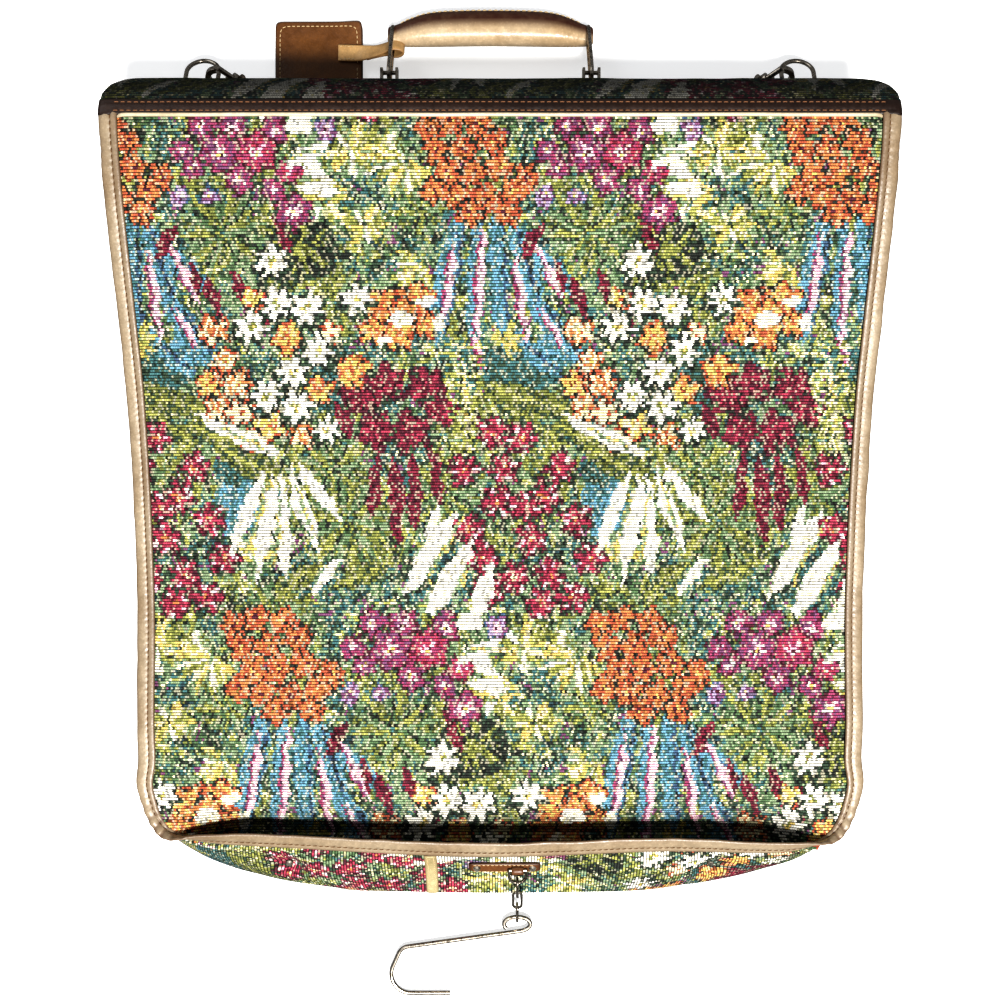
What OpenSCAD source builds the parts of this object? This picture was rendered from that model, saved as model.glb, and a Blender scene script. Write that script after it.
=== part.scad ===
/* [Bag] */
// Half of the width of the folded bag at its middle, in mm
half_width = 263; // [230:1:290]
// Height of the fold above the floor, in mm
fold_height = 112; // [90:1:130]
// Height of the folded bag away from the fold, in mm
flat_height = 47; // [40:1:60]
// Thickness of the tapestry with its lining, in mm
cloth = 3; // [2:0.5:4]
// Width of the tan edge binding, in mm
binding = 12; // [8:1:16]

/* [Handle] */
// Half of the distance between the two handle rings, in mm
ring_half = 73; // [60:1:80]
// Distance of the middle of the handle from the middle of the bag, in mm
handle_x = -7; // [-12:1:12]
// Length of a handle ring between the centres of its ends, in mm
ring_length = 50; // [40:1:56]
// Radius of the ring wire, in mm
ring_wire = 1.5; // [1.2:0.1:1.8]
// Largest radius of the padded grip, in mm
grip_radius = 11; // [9:0.5:12]

/* [Strap fittings] */
// Distance of each strap dee from the middle of the spine, in mm
dee_half = 220; // [180:1:225]
// Radius of the dee wire, in mm
dee_wire = 1.6; // [1.2:0.1:1.8]

/* [Hanging hook] */
// Radius of the hook wire, in mm
hook_wire = 1.6; // [1.3:0.1:1.7]
// Straight length of one chain link, in mm
link_straight = 10; // [8:0.5:11]

/* [Hidden] */
$fn = 48;

tapestry = [0.36, 0.22, 0.24];
tan = [0.72, 0.52, 0.33];
cream = [0.90, 0.86, 0.76];
brown = [0.45, 0.26, 0.16];
nickel = [0.60, 0.57, 0.52];
brass = [0.62, 0.50, 0.28];
board = [0.50, 0.42, 0.32];

// a smooth curve through a few points
function cr(p, i, t) = let (n = len(p), a = p[max(i - 1, 0)], b = p[i], c = p[min(i + 1, n - 1)],
  d = p[min(i + 2, n - 1)])
  0.5 * (2 * b + (c - a) * t + (2 * a - 5 * b + 4 * c - d) * t * t + (3 * b - a - 3 * c + d) * t * t * t);
function curve(p, k) = concat([for (i = [0 : len(p) - 2]) for (j = [0 : k - 1]) cr(p, i, j / k)], [p[len(p) - 1]]);
// the same curve moved sideways
function nrm(p, i) = let (n = len(p), t = p[min(i + 1, n - 1)] - p[max(i - 1, 0)]) [-t[1], t[0]] / norm(t);
function aside(p, d) = [for (i = [0 : len(p) - 1]) p[i] + d * nrm(p, i)];
function back(p) = [for (i = [len(p) - 1 : -1 : 0]) p[i]];
function strip(p, d0, d1) = concat(aside(p, d0), back(aside(p, d1)));
function both(p) = concat(p, [for (q = back(p)) [-q[0], q[1]]]);

// height of the upper face, as a share of the rise of the fold
function rise(s) = flat_height + (fold_height - flat_height) * s;
spine_y = 258;
top_pts = [[spine_y, rise(1)], [215, rise(0.88)], [172, rise(0.69)], [120, rise(0.475)], [70, rise(0.29)],
  [0, rise(0.11)], [-80, rise(0)], [-160, rise(0)], [-205, rise(-0.03)], [-226, rise(-0.12)], [-237, rise(-0.28)]];
top_line = curve(top_pts, 4);
gus_line = curve([for (i = [0 : 8]) top_pts[i]], 4);

// the crease between the two halves, back half then front half
crease = curve([[-247, 36], [-244.5, 26], [-240.5, 19], [-233, 17], [-205, 19.5], [-160, 22], [-80, 22.5], [0, 26],
  [70, 31.5], [120, 36], [172, 39.5], [205, 42], [221, 45], [225, 48.5], [221, 52], [205, 54], [172, 49.5],
  [120, 40.5], [70, 34], [0, 28], [-80, 24], [-160, 23.5], [-205, 21.5], [-234, 19.5]], 3);
gus_crease = curve([[-218, 18.7], [-205, 19.5], [-160, 22], [-80, 22.5], [0, 26],
  [70, 31.5], [120, 36], [172, 39.5], [205, 42], [221, 45], [225, 48.5], [221, 52], [205, 54], [172, 49.5],
  [120, 40.5], [70, 34], [0, 28], [-80, 24], [-160, 23.5], [-205, 21.5]], 3);

// the round fold
fold_depth = 41;
fold_z = 46;
function fold(a, d) = [spine_y + (fold_depth - d) * cos(a),
  fold_z + (a > 0 ? fold_height - fold_z - d : fold_z - d) * sin(a)];
function fold_strip(a0, a1, d0, d1, n) = concat([for (i = [0 : n]) fold(a0 + (a1 - a0) * i / n, d0)],
  [for (i = [n : -1 : 0]) fold(a0 + (a1 - a0) * i / n, d1)]);

// outlines seen from above, inset by i
function plan_front(i) = both(curve([[half_width + 7 - i, spine_y + 4], [half_width + 7.5 - i, 250],
  [half_width + 5.5 - i, 172], [half_width + 1.5 - i, 70], [half_width + 0.5 - i, 0], [half_width - 0.5 - i, -87],
  [half_width - i, -166], [half_width - 1 - i, -200], [half_width - 5 - 0.95 * i, -218 + 0.4 * i],
  [half_width - 15 - 0.75 * i, -231 + 0.7 * i], [half_width - 31 - 0.3 * i, -238 + i], [200, -241 + i]], 3));
function plan_back(i) = both(concat([[half_width + 1 - i, 250.5]],
  curve([[half_width + 1 - i, -200], [half_width - 3 - i, -226], [half_width - 12 - 0.8 * i, -244 + 0.6 * i],
  [half_width - 27 - 0.6 * i, -260 + 0.8 * i], [215 - 0.4 * i, -273 + 0.9 * i], [190 - 0.3 * i, -281 + i],
  [165 - 0.2 * i, -288 + i], [130, -294 + i], [98, -298 + i], [0, -299.5 + i]], 3)));
function plan_spine() = both([[half_width + 6, 200], [half_width + 6, 274], [half_width - 1, 288],
  [half_width - 12, 297], [half_width - 24, 303]]);

// a profile drawn along the length and height, carried across the width
module across(p, x0, x1) { translate([x0, 0, 0]) rotate([90, 0, 90]) linear_extrude(x1 - x0) polygon(p); }
module over(p, h) { linear_extrude(h) polygon(p); }

// bent wire
module wire_arc(R, r, a) { rotate_extrude(angle = a, $fn = 64) translate([R, 0]) circle(r, $fn = 32); }
module ring(L, R, r) {
  rotate([0, 0, 90]) wire_arc(R, r, 180);
  translate([L, 0, 0]) rotate([0, 0, -90]) wire_arc(R, r, 180);
  for (s = [-1, 1]) translate([0, s * R, 0]) rotate([0, 90, 0]) cylinder(r = r, h = L, $fn = 32);
}
module dee(R, L, r) {
  translate([-R, 0, 0]) rotate([0, 90, 0]) cylinder(r = r, h = 2 * R, $fn = 32);
  for (s = [-1, 1]) translate([s * R, 0, 0]) {
    sphere(r, $fn = 32);
    rotate([-90, 0, 0]) cylinder(r = r, h = L, $fn = 32);
  }
  translate([0, L, 0]) wire_arc(R, r, 180);
}

// soft pieces of the back half
module back_panel() { color(tapestry) over(plan_back(9.2), cloth); }
module back_binding() {
  color(tan) difference() {
    over(plan_back(0), 4);
    translate([0, 0, -1]) over(plan_back(9), 6);
    translate([-400, 246, -1]) cube([800, 20, 8]);
  }
}
gusset_profile = concat([[-218, 4.3], [250, 4.3]], [for (a = [-78 : 12 : 78]) fold(a, 4.2)],
  back([for (q = back(aside(gus_line, 5.2))) q]),
  back(aside(gus_crease, -2.8)));
module gusset(s) {
  color(tapestry) across(gusset_profile, s > 0 ? half_width - 9 : 6 - half_width, s > 0 ? half_width - 6 : 9 - half_width);
}
module gusset_left() { gusset(-1); }
module gusset_right() { gusset(1); }

// the slanted wall at the hook end
ridge = [-252, 41];
foot = [-295, 4.3];
wall_len = norm(foot - ridge);
wall_dip = atan2(ridge[1] - foot[1], ridge[0] - foot[0]);
ridge_pts = [[0, -252, 41], [49, -252, 41], [98, -252, 41], [130, -251.5, 41], [160, -251, 41], [188, -250, 40],
  [210, -248, 38], [230, -244.5, 32], [243, -238, 21], [250, -226, 15]];
foot_pts = [[0, -295], [49, -295], [98, -295], [130, -290.5], [163, -284.5], [188, -277.5], [212, -269],
  [232, -257], [246, -242], [252.5, -225]];
wall_half = concat([for (i = [9 : -1 : 1]) [-1, i]], [for (i = [0 : 9]) [1, i]]);
function wall_in(i) = i < 3 ? [0, 1] : let (t = foot_pts[min(i + 1, 9)] - foot_pts[i - 1]) [-t[1], t[0]] / norm(t);
module wall_solid() {
  n = len(wall_half);
  pts = [for (h = wall_half) let (i = h[1], s = h[0], r = ridge_pts[i], f = foot_pts[i], w = wall_in(i) * cloth)
    each [[s * r[0], r[1], r[2]], [s * f[0], f[1], 4.3],
          [s * (f[0] + w[0]), f[1] + w[1], 4.3], [s * (r[0] + w[0]), r[1] + w[1], r[2]]]];
  faces = concat([[3, 2, 1, 0]], [[4 * n - 4, 4 * n - 3, 4 * n - 2, 4 * n - 1]],
    [for (k = [0 : n - 2]) for (e = [0 : 3]) let (a = 4 * k + e, b = 4 * k + (e + 1) % 4)
      each [[a, b, a + 4], [b, b + 4, a + 4]]]);
  polyhedron(points = pts, faces = faces);
}
// places things on the wall: x across, second value up the wall, height off its face
module on_wall(x, up) {
  translate([x, foot[0], foot[1]]) rotate([wall_dip, 0, 0]) translate([0, up, 0]) children();
}
tab_up = 0.58 * wall_len;
tab_x = [-17, 24];
bar_x = [-156, 156];
module hook_end_gusset() {
  color(tapestry) difference() {
    wall_solid();
    for (x = concat(tab_x, bar_x)) on_wall(x, tab_up) translate([0, 0, -9]) cylinder(r = 2, h = 14, $fn = 32);
  }
}
module hanger_bar() {
  color(nickel) difference() {
    on_wall(-166, tab_up - 7) translate([0, 0, -9.9]) cube([332, 14, 2.4]);
    for (x = concat(tab_x, bar_x)) on_wall(x, tab_up) translate([0, 0, -13]) cylinder(r = 2, h = 14, $fn = 32);
  }
}
module rivet(top, len) {
  translate([0, 0, top - len]) cylinder(r = 1.8, h = len, $fn = 32);
  translate([0, 0, top]) cylinder(r1 = 2.9, r2 = 2, h = 1.4, $fn = 40);
}
module bar_rivets() { color(nickel) for (x = bar_x) on_wall(x, tab_up) rivet(-2, 8); }
module tab_rivets() { color(nickel) for (x = tab_x) on_wall(x, tab_up) rivet(2.9, 12.9); }
module hook_tab() {
  color(tan) difference() {
    union() {
      on_wall(-23, tab_up - 5) translate([0, 0, 0.3]) cube([53, 10, 2.5]);
      on_wall(hang_x - 4.5, tab_up) translate([0, 0, 4.6]) rotate([0, 90, 0]) cylinder(r = 3.2, h = 9, $fn = 40);
    }
    on_wall(0, tab_up) translate([0, 0, 4.6]) rotate([0, 90, 0]) cylinder(r = 1.6, h = 30, $fn = 40);
    for (x = tab_x) on_wall(x, tab_up) translate([0, 0, -1]) cylinder(r = 2, h = 8, $fn = 32);
  }
}
module gusset_tape() { color(tan) on_wall(-57, 1) translate([0, 0, 0.2]) cube([9, wall_len - 5, 1.3]); }
module ridge_binding() {
  color(tan) for (s = [0]) translate([-205, -256.5, 41.3]) cube([410, 8.5, 3.4]);
}

// soft pieces of the front half
module inner_panel() {
  color(board) difference() {
    intersection() {
      across(strip(crease, 0, -2.5), 9.3 - half_width, half_width - 9.3);
      translate([0, 0, -5]) over(plan_back(5), 120);
    }
    for (s = [-1, 1]) {
      translate([s > 0 ? 190 : -290, -320, -5]) cube([100, 84, 120]);
      translate([s > 0 ? half_width - 29 : -half_width - 29, -320, -5]) cube([58, 104, 120]);
    }
  }
}
module front_panel() {
  color(tapestry) intersection() {
    across(strip(top_line, 0, cloth), -half_width - 20, half_width + 20);
    over(plan_front(binding + 0.2), 200);
  }
}
module front_binding() {
  color(tan) intersection() {
    across(strip(top_line, -1, 4.4), -half_width - 20, half_width + 20);
    difference() {
      over(plan_front(0), 200);
      translate([0, 0, -1]) over(plan_front(binding), 202);
      translate([-400, 252.5, -1]) cube([800, 40, 210]);
    }
  }
}
module front_end_gusset() { color(tapestry) translate([-235, -236.8, 17.2]) cube([470, 2.4, 6.6]); }

// the fold
module fold_piece(a0, a1, d0, d1, n) {
  intersection() {
    across(fold_strip(a0, a1, d0, d1, n), -half_width - 20, half_width + 20);
    over(plan_spine(), 200);
  }
}
staple_x = [for (s = [-1, 1]) for (t = [-11, 11]) handle_x + s * ring_half + t];
dee_rivet_x = [for (s = [-1, 1]) for (t = [-11.5, 11.5]) s * dee_half + t];
dee_a = -15;
dee_spot = fold(dee_a, 0);
dee_dip = atan2(sin(dee_a) / fold_z, cos(dee_a) / fold_depth);
module on_dee(x) { translate([x, dee_spot[0], dee_spot[1]]) rotate([dee_dip, 0, 0]) children(); }
module spine_holes() {
  for (x = staple_x) translate([x, 285, fold_z]) rotate([-90, 0, 0]) cylinder(r = 1.8, h = 30, $fn = 32);
  for (x = dee_rivet_x) on_dee(x) translate([0, -14, 0]) rotate([-90, 0, 0]) cylinder(r = 1.8, h = 30, $fn = 32);
}
module spine_panel() { color(tapestry) difference() { fold_piece(-72, 74, 0, cloth, 32); spine_holes(); } }
module spine_board() {
  color(board) difference() {
    across(fold_strip(-40, 40, cloth + 0.4, cloth + 3, 16), 24 - half_width, half_width - 24);
    spine_holes();
  }
}
module spine_band_front() { color(tan) fold_piece(74.4, 89, -0.4, cloth, 6); }
module spine_band_back() { color(tan) fold_piece(-88, -72.4, 0, cloth, 6); }
module piping_front() {
  color(cream) translate([-half_width - 3, spine_y + 0.6, fold_height + 2.9]) rotate([0, 90, 0])
    cylinder(r = 2.2, h = 2 * half_width + 6, $fn = 32);
}
module piping_back() {
  color(cream) translate([-half_width + 4, spine_y - 4.2, 2.3]) rotate([0, 90, 0])
    cylinder(r = 2.2, h = 2 * half_width - 8, $fn = 32);
}

// zip on the left gusset of the back half
zip_z = 11.5;
zip_x = 9 - half_width - 3;
module zip_tape() { color(brown) translate([zip_x - 1.2, -180, zip_z - 5.5]) cube([1, 370, 11]); }
module zip_teeth() { color(brass) translate([zip_x - 3.3, -176, zip_z - 2.5]) cube([2, 362, 5]); }
module zip_stops() {
  color(brass) for (y = [-182, 187.5]) translate([zip_x - 4, y, zip_z - 3.2]) cube([2.7, 4.5, 6.4]);
}
slider_y = 168;
module zip_slider() {
  color(brass) translate([zip_x, slider_y, zip_z]) difference() {
    union() {
      translate([-6.1, -6, -4.6]) cube([4.5, 12, 9.2]);
      translate([-9.9, -5, -1.2]) cube([4, 10, 2.4]);
    }
    translate([-3.7, -7, -2.9]) cube([4, 14, 5.8]);
    translate([-8.7, -3.6, -2]) cube([2.6, 7.2, 4]);
  }
}
module zip_pull() {
  color(brass) translate([zip_x - 7.4, slider_y, zip_z]) {
    translate([0, 0, -4.2]) cylinder(r = 0.9, h = 8.4, $fn = 32);
    for (s = [-1, 1]) translate([-0.7, -9, s * 3.4 - 0.8]) cube([1.4, 9, 1.6]);
    translate([-0.7, -32, -4.2]) cube([1.4, 24, 8.4]);
  }
}

// handle
bar_y = 308.9;
grip_z = 11.5;
ring_reach = ring_length + 5.5;
ring_dip = asin((fold_z - grip_z) / ring_reach);
module staple(x) {
  color(nickel) translate([x, 0, fold_z]) {
    difference() {
      translate([-15, 299.3, -7]) cube([30, 1.6, 14]);
      for (t = [-11, 11]) translate([t, 290, 0]) rotate([-90, 0, 0]) cylinder(r = 1.8, h = 20, $fn = 32);
    }
    for (s = [-1, 1]) translate([s * 5.5 - 1, 300.5, -3.2]) cube([2, 11.6, 6.4]);
    translate([-5, bar_y, 0]) rotate([0, 90, 0]) cylinder(r = 1.5, h = 10, $fn = 40);
  }
}
module handle_staple_left() { staple(handle_x - ring_half); }
module handle_staple_right() { staple(handle_x + ring_half); }
module staple_rivets() {
  color(nickel) for (x = staple_x) translate([x, 0, fold_z]) {
    translate([0, 291.5, 0]) rotate([-90, 0, 0]) cylinder(r = 1.6, h = 9.6, $fn = 32);
    translate([0, 301.1, 0]) rotate([-90, 0, 0]) cylinder(r1 = 2.9, r2 = 2, h = 1.3, $fn = 32);
  }
}
// x along the ring, plane of the ring standing up
module at_ring(x) { translate([x, bar_y, fold_z]) rotate([-ring_dip, 0, 0]) rotate([0, 0, 90]) rotate([90, 0, 0]) children(); }
module handle_ring(x) { color(nickel) at_ring(x) ring(ring_length, 5.5, ring_wire); }
module handle_ring_left() { handle_ring(handle_x - ring_half); }
module handle_ring_right() { handle_ring(handle_x + ring_half); }
module handle_grip() {
  color(tan) difference() {
    union() {
      translate([handle_x, bar_y, fold_z]) rotate([-ring_dip, 0, 0]) translate([0, ring_reach, 0]) {
        rotate([0, 90, 0]) rotate_extrude($fn = 72) polygon(concat([[0, -60], [6, -60]],
          curve([[6.2, -59], [8.4, -52], [10.2, -36], [grip_radius, -16], [grip_radius, 16], [10.2, 36], [8.4, 52], [6.2, 59]], 4),
          [[6, 60], [0, 60]]));
        for (s = [-1, 1]) {
          translate([s > 0 ? 55 : -ring_half - 3.5, -4.6, -3.4]) cube([ring_half - 51.5, 9.2, 6.8]);
        }
      }
    }
    for (s = [-1, 1]) at_ring(handle_x + s * ring_half) ring(ring_length, 5.5, ring_wire + 0.35);
  }
}

// luggage tag on the left ring
tag_t = 0.8 * ring_length;
tag_drop = 25;
module at_tag_leg() { at_ring(handle_x - ring_half) translate([tag_t, -5.5, 0]) children(); }
module tag_back() { color(brown) translate([-170, 298, 0.2]) cube([66, 64, 1.8]); }
module tag_card() { color(cream) translate([-162, 303, 2.15]) cube([50, 54, 0.6]); }
module tag_flap() {
  color(brown) difference() {
    translate([-170, 298, 2.1]) cube([66, 64, 2.4]);
    translate([-164, 301, 1.5]) cube([54, 58, 1.4]);
  }
}
module tag_strap() {
  color(tan) difference() {
    union() {
      at_tag_leg() rotate([0, 90, 0]) translate([0, 0, -5]) cylinder(r = 4, h = 10, $fn = 40);
      at_tag_leg() rotate([-tag_drop, 0, 0]) translate([-5, -1, -26]) cube([10, 2, 26]);
      translate([-120, 331, 4.6]) cube([22, 10, 2]);
    }
    at_tag_leg() rotate([0, 90, 0]) translate([0, 0, -9]) cylinder(r = 1.95, h = 18, $fn = 40);
  }
}

// strap dees and bolt snaps
dee_alpha = 30;
module dee_plate(x) {
  color(nickel) difference() {
    union() {
      on_dee(x) translate([-16, 0.3, -6.5]) cube([32, 1.5, 13]);
      on_dee(x) translate([-7, 5.3, 0]) rotate([0, 90, 0]) cylinder(r = 3.6, h = 14, $fn = 40);
    }
    on_dee(x) translate([-9, 5.3, 0]) rotate([0, 90, 0]) cylinder(r = dee_wire + 0.35, h = 18, $fn = 40);
    for (t = [-11.5, 11.5]) on_dee(x + t) translate([0, -3, 0]) rotate([-90, 0, 0]) cylinder(r = 1.8, h = 8, $fn = 32);
  }
}
module dee_plate_left() { dee_plate(-dee_half); }
module dee_plate_right() { dee_plate(dee_half); }
module dee_rivets() {
  color(nickel) for (x = dee_rivet_x) on_dee(x) {
    translate([0, -7, 0]) rotate([-90, 0, 0]) cylinder(r = 1.6, h = 9, $fn = 32);
    translate([0, 2, 0]) rotate([-90, 0, 0]) cylinder(r1 = 2.8, r2 = 2, h = 1.2, $fn = 32);
  }
}
module at_dee(x) { on_dee(x) translate([0, 5.3, 0]) rotate([-dee_alpha - dee_dip, 0, 0]) children(); }
module dee_left() { color(nickel) at_dee(-dee_half) dee(12, 16, dee_wire); }
module dee_right() { color(nickel) mirror([1, 0, 0]) at_dee(-dee_half) dee(12, 16, dee_wire); }
// the snap: x from hook to eye, z along the dee leg it hangs on
snap_beta = 46;
module at_snap() { at_dee(-dee_half) translate([12, 10.5, 0]) rotate([0, snap_beta, 0]) rotate([-90, 0, 0]) children(); }
bolt_y = -7.2;
module snap_body() {
  color(nickel) difference() {
    union() {
      difference() {
        translate([0, 0, -2]) cylinder(r = 9.1, h = 4, $fn = 64);
        translate([0, 0, -3]) cylinder(r = 5.4, h = 6, $fn = 64);
        translate([-5.6, -12, -3]) cube([20, 8.2, 6]);
      }
      translate([6.2, bolt_y + 2.6, -2]) cube([5, 7, 4]);
      translate([7.5, bolt_y, 0]) rotate([0, 90, 0]) cylinder(r = 4.4, h = 21, $fn = 48);
    }
    translate([6, bolt_y, 0]) rotate([0, 90, 0]) cylinder(r = 2.35, h = 15, $fn = 40);
    translate([11, bolt_y - 8, -1.7]) cube([10, 8, 3.4]);
    translate([22.5, bolt_y, 0]) rotate([0, 90, 0]) cylinder(r = 3.3, h = 3.6, $fn = 40);
    translate([25, bolt_y, 0]) rotate([0, 90, 0]) cylinder(r = 2.1, h = 6, $fn = 40);
  }
}
module snap_bolt() {
  color(nickel) {
    translate([-4.6, bolt_y, 0]) rotate([0, 90, 0]) cylinder(r = 2, h = 18, $fn = 40);
    translate([12.6, bolt_y, 0]) rotate([90, 0, 0]) cylinder(r = 1.3, h = 6, $fn = 32);
    translate([12.6, bolt_y - 5, 0]) rotate([90, 0, 0]) cylinder(r = 2.3, h = 1.6, $fn = 32);
  }
}
module snap_eye() {
  color(nickel) translate([0, bolt_y, 0]) {
    translate([22.9, 0, 0]) rotate([0, 90, 0]) cylinder(r = 2.95, h = 2.8, $fn = 40);
    translate([24, 0, 0]) rotate([0, 90, 0]) cylinder(r = 1.75, h = 8, $fn = 40);
    difference() {
      translate([31, -1.6, -8.5]) cube([10, 3.2, 17]);
      translate([33.4, -3, -6]) cube([5, 6, 12]);
    }
  }
}
module snap_body_left() { at_snap() snap_body(); }
module snap_body_right() { mirror([1, 0, 0]) at_snap() snap_body(); }
module snap_bolt_left() { at_snap() snap_bolt(); }
module snap_bolt_right() { mirror([1, 0, 0]) at_snap() snap_bolt(); }
module snap_eye_left() { at_snap() snap_eye(); }
module snap_eye_right() { mirror([1, 0, 0]) at_snap() snap_eye(); }

// hanging hook on its chain
hang_x = 13;
hang_dip = 30;
hang_y = foot[0] + tab_up * cos(wall_dip) - 4.6 * sin(wall_dip);
hang_z = foot[1] + tab_up * sin(wall_dip) + 4.6 * cos(wall_dip);
apex_y = hang_y - 12.5 * cos(hang_dip);
apex_z = hang_z - 12.5 * sin(hang_dip);
link_wire = 1;
link_R = 3.2;
chain_len = 3 * link_straight + 2 * link_R;
hook_lift = 2.9;
eye_z = hook_wire + 0.1 + hook_lift;
chain_dip = asin((apex_z - eye_z) / chain_len);
eye_a = 10;
eye_b = 5.5;
eye_y = apex_y - chain_len * cos(chain_dip) - eye_b;
module hook_dee() {
  color(nickel) translate([hang_x, hang_y, hang_z]) rotate([hang_dip, 0, 0]) rotate([0, 0, 180]) dee(6.2, 6.3, 1.25);
}
module along_chain(d) {
  translate([hang_x, apex_y, apex_z]) rotate([chain_dip, 0, 0]) rotate([0, 0, -90]) translate([d, 0, 0]) children();
}
module chain_link_1() { color(nickel) along_chain(0) rotate([90, 0, 0]) ring(link_straight, link_R, link_wire); }
module chain_link_2() { color(nickel) along_chain(link_straight + link_R) ring(link_straight, link_R, link_wire); }
module chain_link_3() {
  color(nickel) along_chain(2 * (link_straight + link_R)) rotate([90, 0, 0]) ring(link_straight, link_R, link_wire);
}
// straight and bent runs of wire, one after the other: [length] or [radius, turn to the left in degrees]
function walk(p, steps, i = 0) = i >= len(steps) ? [p] :
  let (s = steps[i], x = p[0], y = p[1], h = p[2])
  len(s) == 1 ? concat([p], walk([x + s[0] * cos(h), y + s[0] * sin(h), h], steps, i + 1)) :
  let (m = ceil(s[1] / 8), cx = x + s[0] * cos(h + 90), cy = y + s[0] * sin(h + 90), e = h - 90 + s[1])
  concat([for (j = [0 : m - 1]) let (a = h - 90 + s[1] * j / m) [cx + s[0] * cos(a), cy + s[0] * sin(a), a + 90]],
    walk([cx + s[0] * cos(e), cy + s[0] * sin(e), e + 90], steps, i + 1));
hook_eye = [for (j = [0 : 36]) let (a = 215 - 290.7 * j / 37) [eye_a * cos(a), eye_b * sin(a), atan2(-eye_b * cos(a), eye_a * sin(a))]];
hook_path = concat(hook_eye, walk([eye_a * cos(-75.7), eye_b * sin(-75.7), -172], [[86], [9, 58], [11], [14.6, 114], [30]]));
module swept(path, r) {
  k = 16;
  n = len(path);
  pts = [for (q = path) for (j = [0 : k - 1]) let (t = 360 * j / k)
    [q[0] + r * cos(t) * cos(q[2] + 90), q[1] + r * cos(t) * sin(q[2] + 90), r * sin(t)]];
  faces = concat([[for (j = [0 : k - 1]) j]], [[for (j = [k - 1 : -1 : 0]) (n - 1) * k + j]],
    [for (i = [0 : n - 2]) for (j = [0 : k - 1]) let (a = i * k + j, b = i * k + (j + 1) % k)
      each [[a, a + k, b], [b, a + k, b + k]]]);
  polyhedron(points = pts, faces = faces);
}
// the eye lies on the last link, so the hook slopes a little down to the floor
hook_tilt = asin(hook_lift / 58.6);
module hanging_hook() {
  color(nickel) translate([hang_x, eye_y + eye_b, eye_z]) rotate([hook_tilt, 0, 0]) translate([0, -eye_b, 0]) swept(hook_path, hook_wire);
}

back_panel();
back_binding();
gusset_left();
gusset_right();
hook_end_gusset();
inner_panel();
front_panel();
front_binding();
front_end_gusset();
spine_panel();
spine_board();
spine_band_front();
spine_band_back();
piping_front();
piping_back();
ridge_binding();
gusset_tape();
hanger_bar();
bar_rivets();
hook_tab();
tab_rivets();
zip_tape();
zip_teeth();
zip_stops();
handle_staple_left();
handle_staple_right();
staple_rivets();
dee_plate_left();
dee_plate_right();
dee_rivets();
handle_ring_left();
handle_ring_right();
handle_grip();
tag_back();
tag_flap();
tag_card();
tag_strap();
dee_left();
dee_right();
snap_body_left();
snap_body_right();
snap_bolt_left();
snap_bolt_right();
snap_eye_left();
snap_eye_right();
hook_dee();
chain_link_1();
chain_link_2();
chain_link_3();
hanging_hook();
zip_slider();
zip_pull();
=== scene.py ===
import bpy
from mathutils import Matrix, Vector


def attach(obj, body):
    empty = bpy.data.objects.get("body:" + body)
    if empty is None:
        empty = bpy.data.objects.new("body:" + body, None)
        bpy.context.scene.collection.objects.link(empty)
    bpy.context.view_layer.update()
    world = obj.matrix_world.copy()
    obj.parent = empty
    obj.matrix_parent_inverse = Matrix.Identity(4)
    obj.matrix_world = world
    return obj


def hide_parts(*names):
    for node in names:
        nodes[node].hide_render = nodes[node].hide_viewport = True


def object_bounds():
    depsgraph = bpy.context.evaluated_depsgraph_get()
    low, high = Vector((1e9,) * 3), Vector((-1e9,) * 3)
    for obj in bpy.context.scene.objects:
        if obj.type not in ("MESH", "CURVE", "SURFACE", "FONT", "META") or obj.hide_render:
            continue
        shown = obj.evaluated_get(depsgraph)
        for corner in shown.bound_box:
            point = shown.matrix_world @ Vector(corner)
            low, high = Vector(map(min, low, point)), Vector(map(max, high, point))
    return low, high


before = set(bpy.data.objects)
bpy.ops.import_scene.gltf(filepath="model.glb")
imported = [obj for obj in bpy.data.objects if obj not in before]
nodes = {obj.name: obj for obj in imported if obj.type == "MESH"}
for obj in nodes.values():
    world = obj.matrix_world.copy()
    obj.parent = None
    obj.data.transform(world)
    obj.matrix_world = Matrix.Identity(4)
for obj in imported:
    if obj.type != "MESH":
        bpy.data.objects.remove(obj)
cad_lo, cad_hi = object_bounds()
cad_lo, cad_hi = list(cad_lo), list(cad_hi)

import math

import bmesh
import bpy
import numpy as np
from mathutils import Vector

scene = bpy.context.scene

# ---------------------------------------------------------------- camera, straight above the bag
cam_data = bpy.data.cameras.new("camera")
cam = bpy.data.objects.new("camera", cam_data)
scene.collection.objects.link(cam)
cam_data.sensor_width = 36.0
cam_data.lens = 45.0
cam_data.clip_start = 0.01
cam.location = (0.0, 0.0, 0.95)
cam.rotation_euler = (0.0, 0.0, 0.0)
scene.camera = cam


# ---------------------------------------------------------------- curves (millimetres)
def curve(p, k):
    p = np.asarray(p, float)
    n = len(p)
    out = []
    for i in range(n - 1):
        a, b, c, d = p[max(i - 1, 0)], p[i], p[i + 1], p[min(i + 2, n - 1)]
        for j in range(k):
            t = j / k
            out.append(0.5 * (2 * b + (c - a) * t + (2 * a - 5 * b + 4 * c - d) * t * t + (3 * b - a - 3 * c + d) * t ** 3))
    out.append(p[-1])
    return np.array(out)


def run(p):
    return np.r_[0, np.cumsum(np.linalg.norm(np.diff(p[:, :3], axis=0), axis=1))]


def resample(p, n=None, step=None):
    s = run(p)
    if n is None:
        n = int(round(s[-1] / step)) + 1
    t = np.linspace(0, s[-1], n)
    return np.stack([np.interp(t, s, p[:, k]) for k in range(p.shape[1])], 1)


def unit(v):
    return v / np.maximum(np.linalg.norm(v, axis=-1, keepdims=True), 1e-9)


def at(t, s, p):
    return np.stack([np.interp(t, s, p[..., k]) for k in range(p.shape[-1])], -1)


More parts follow.
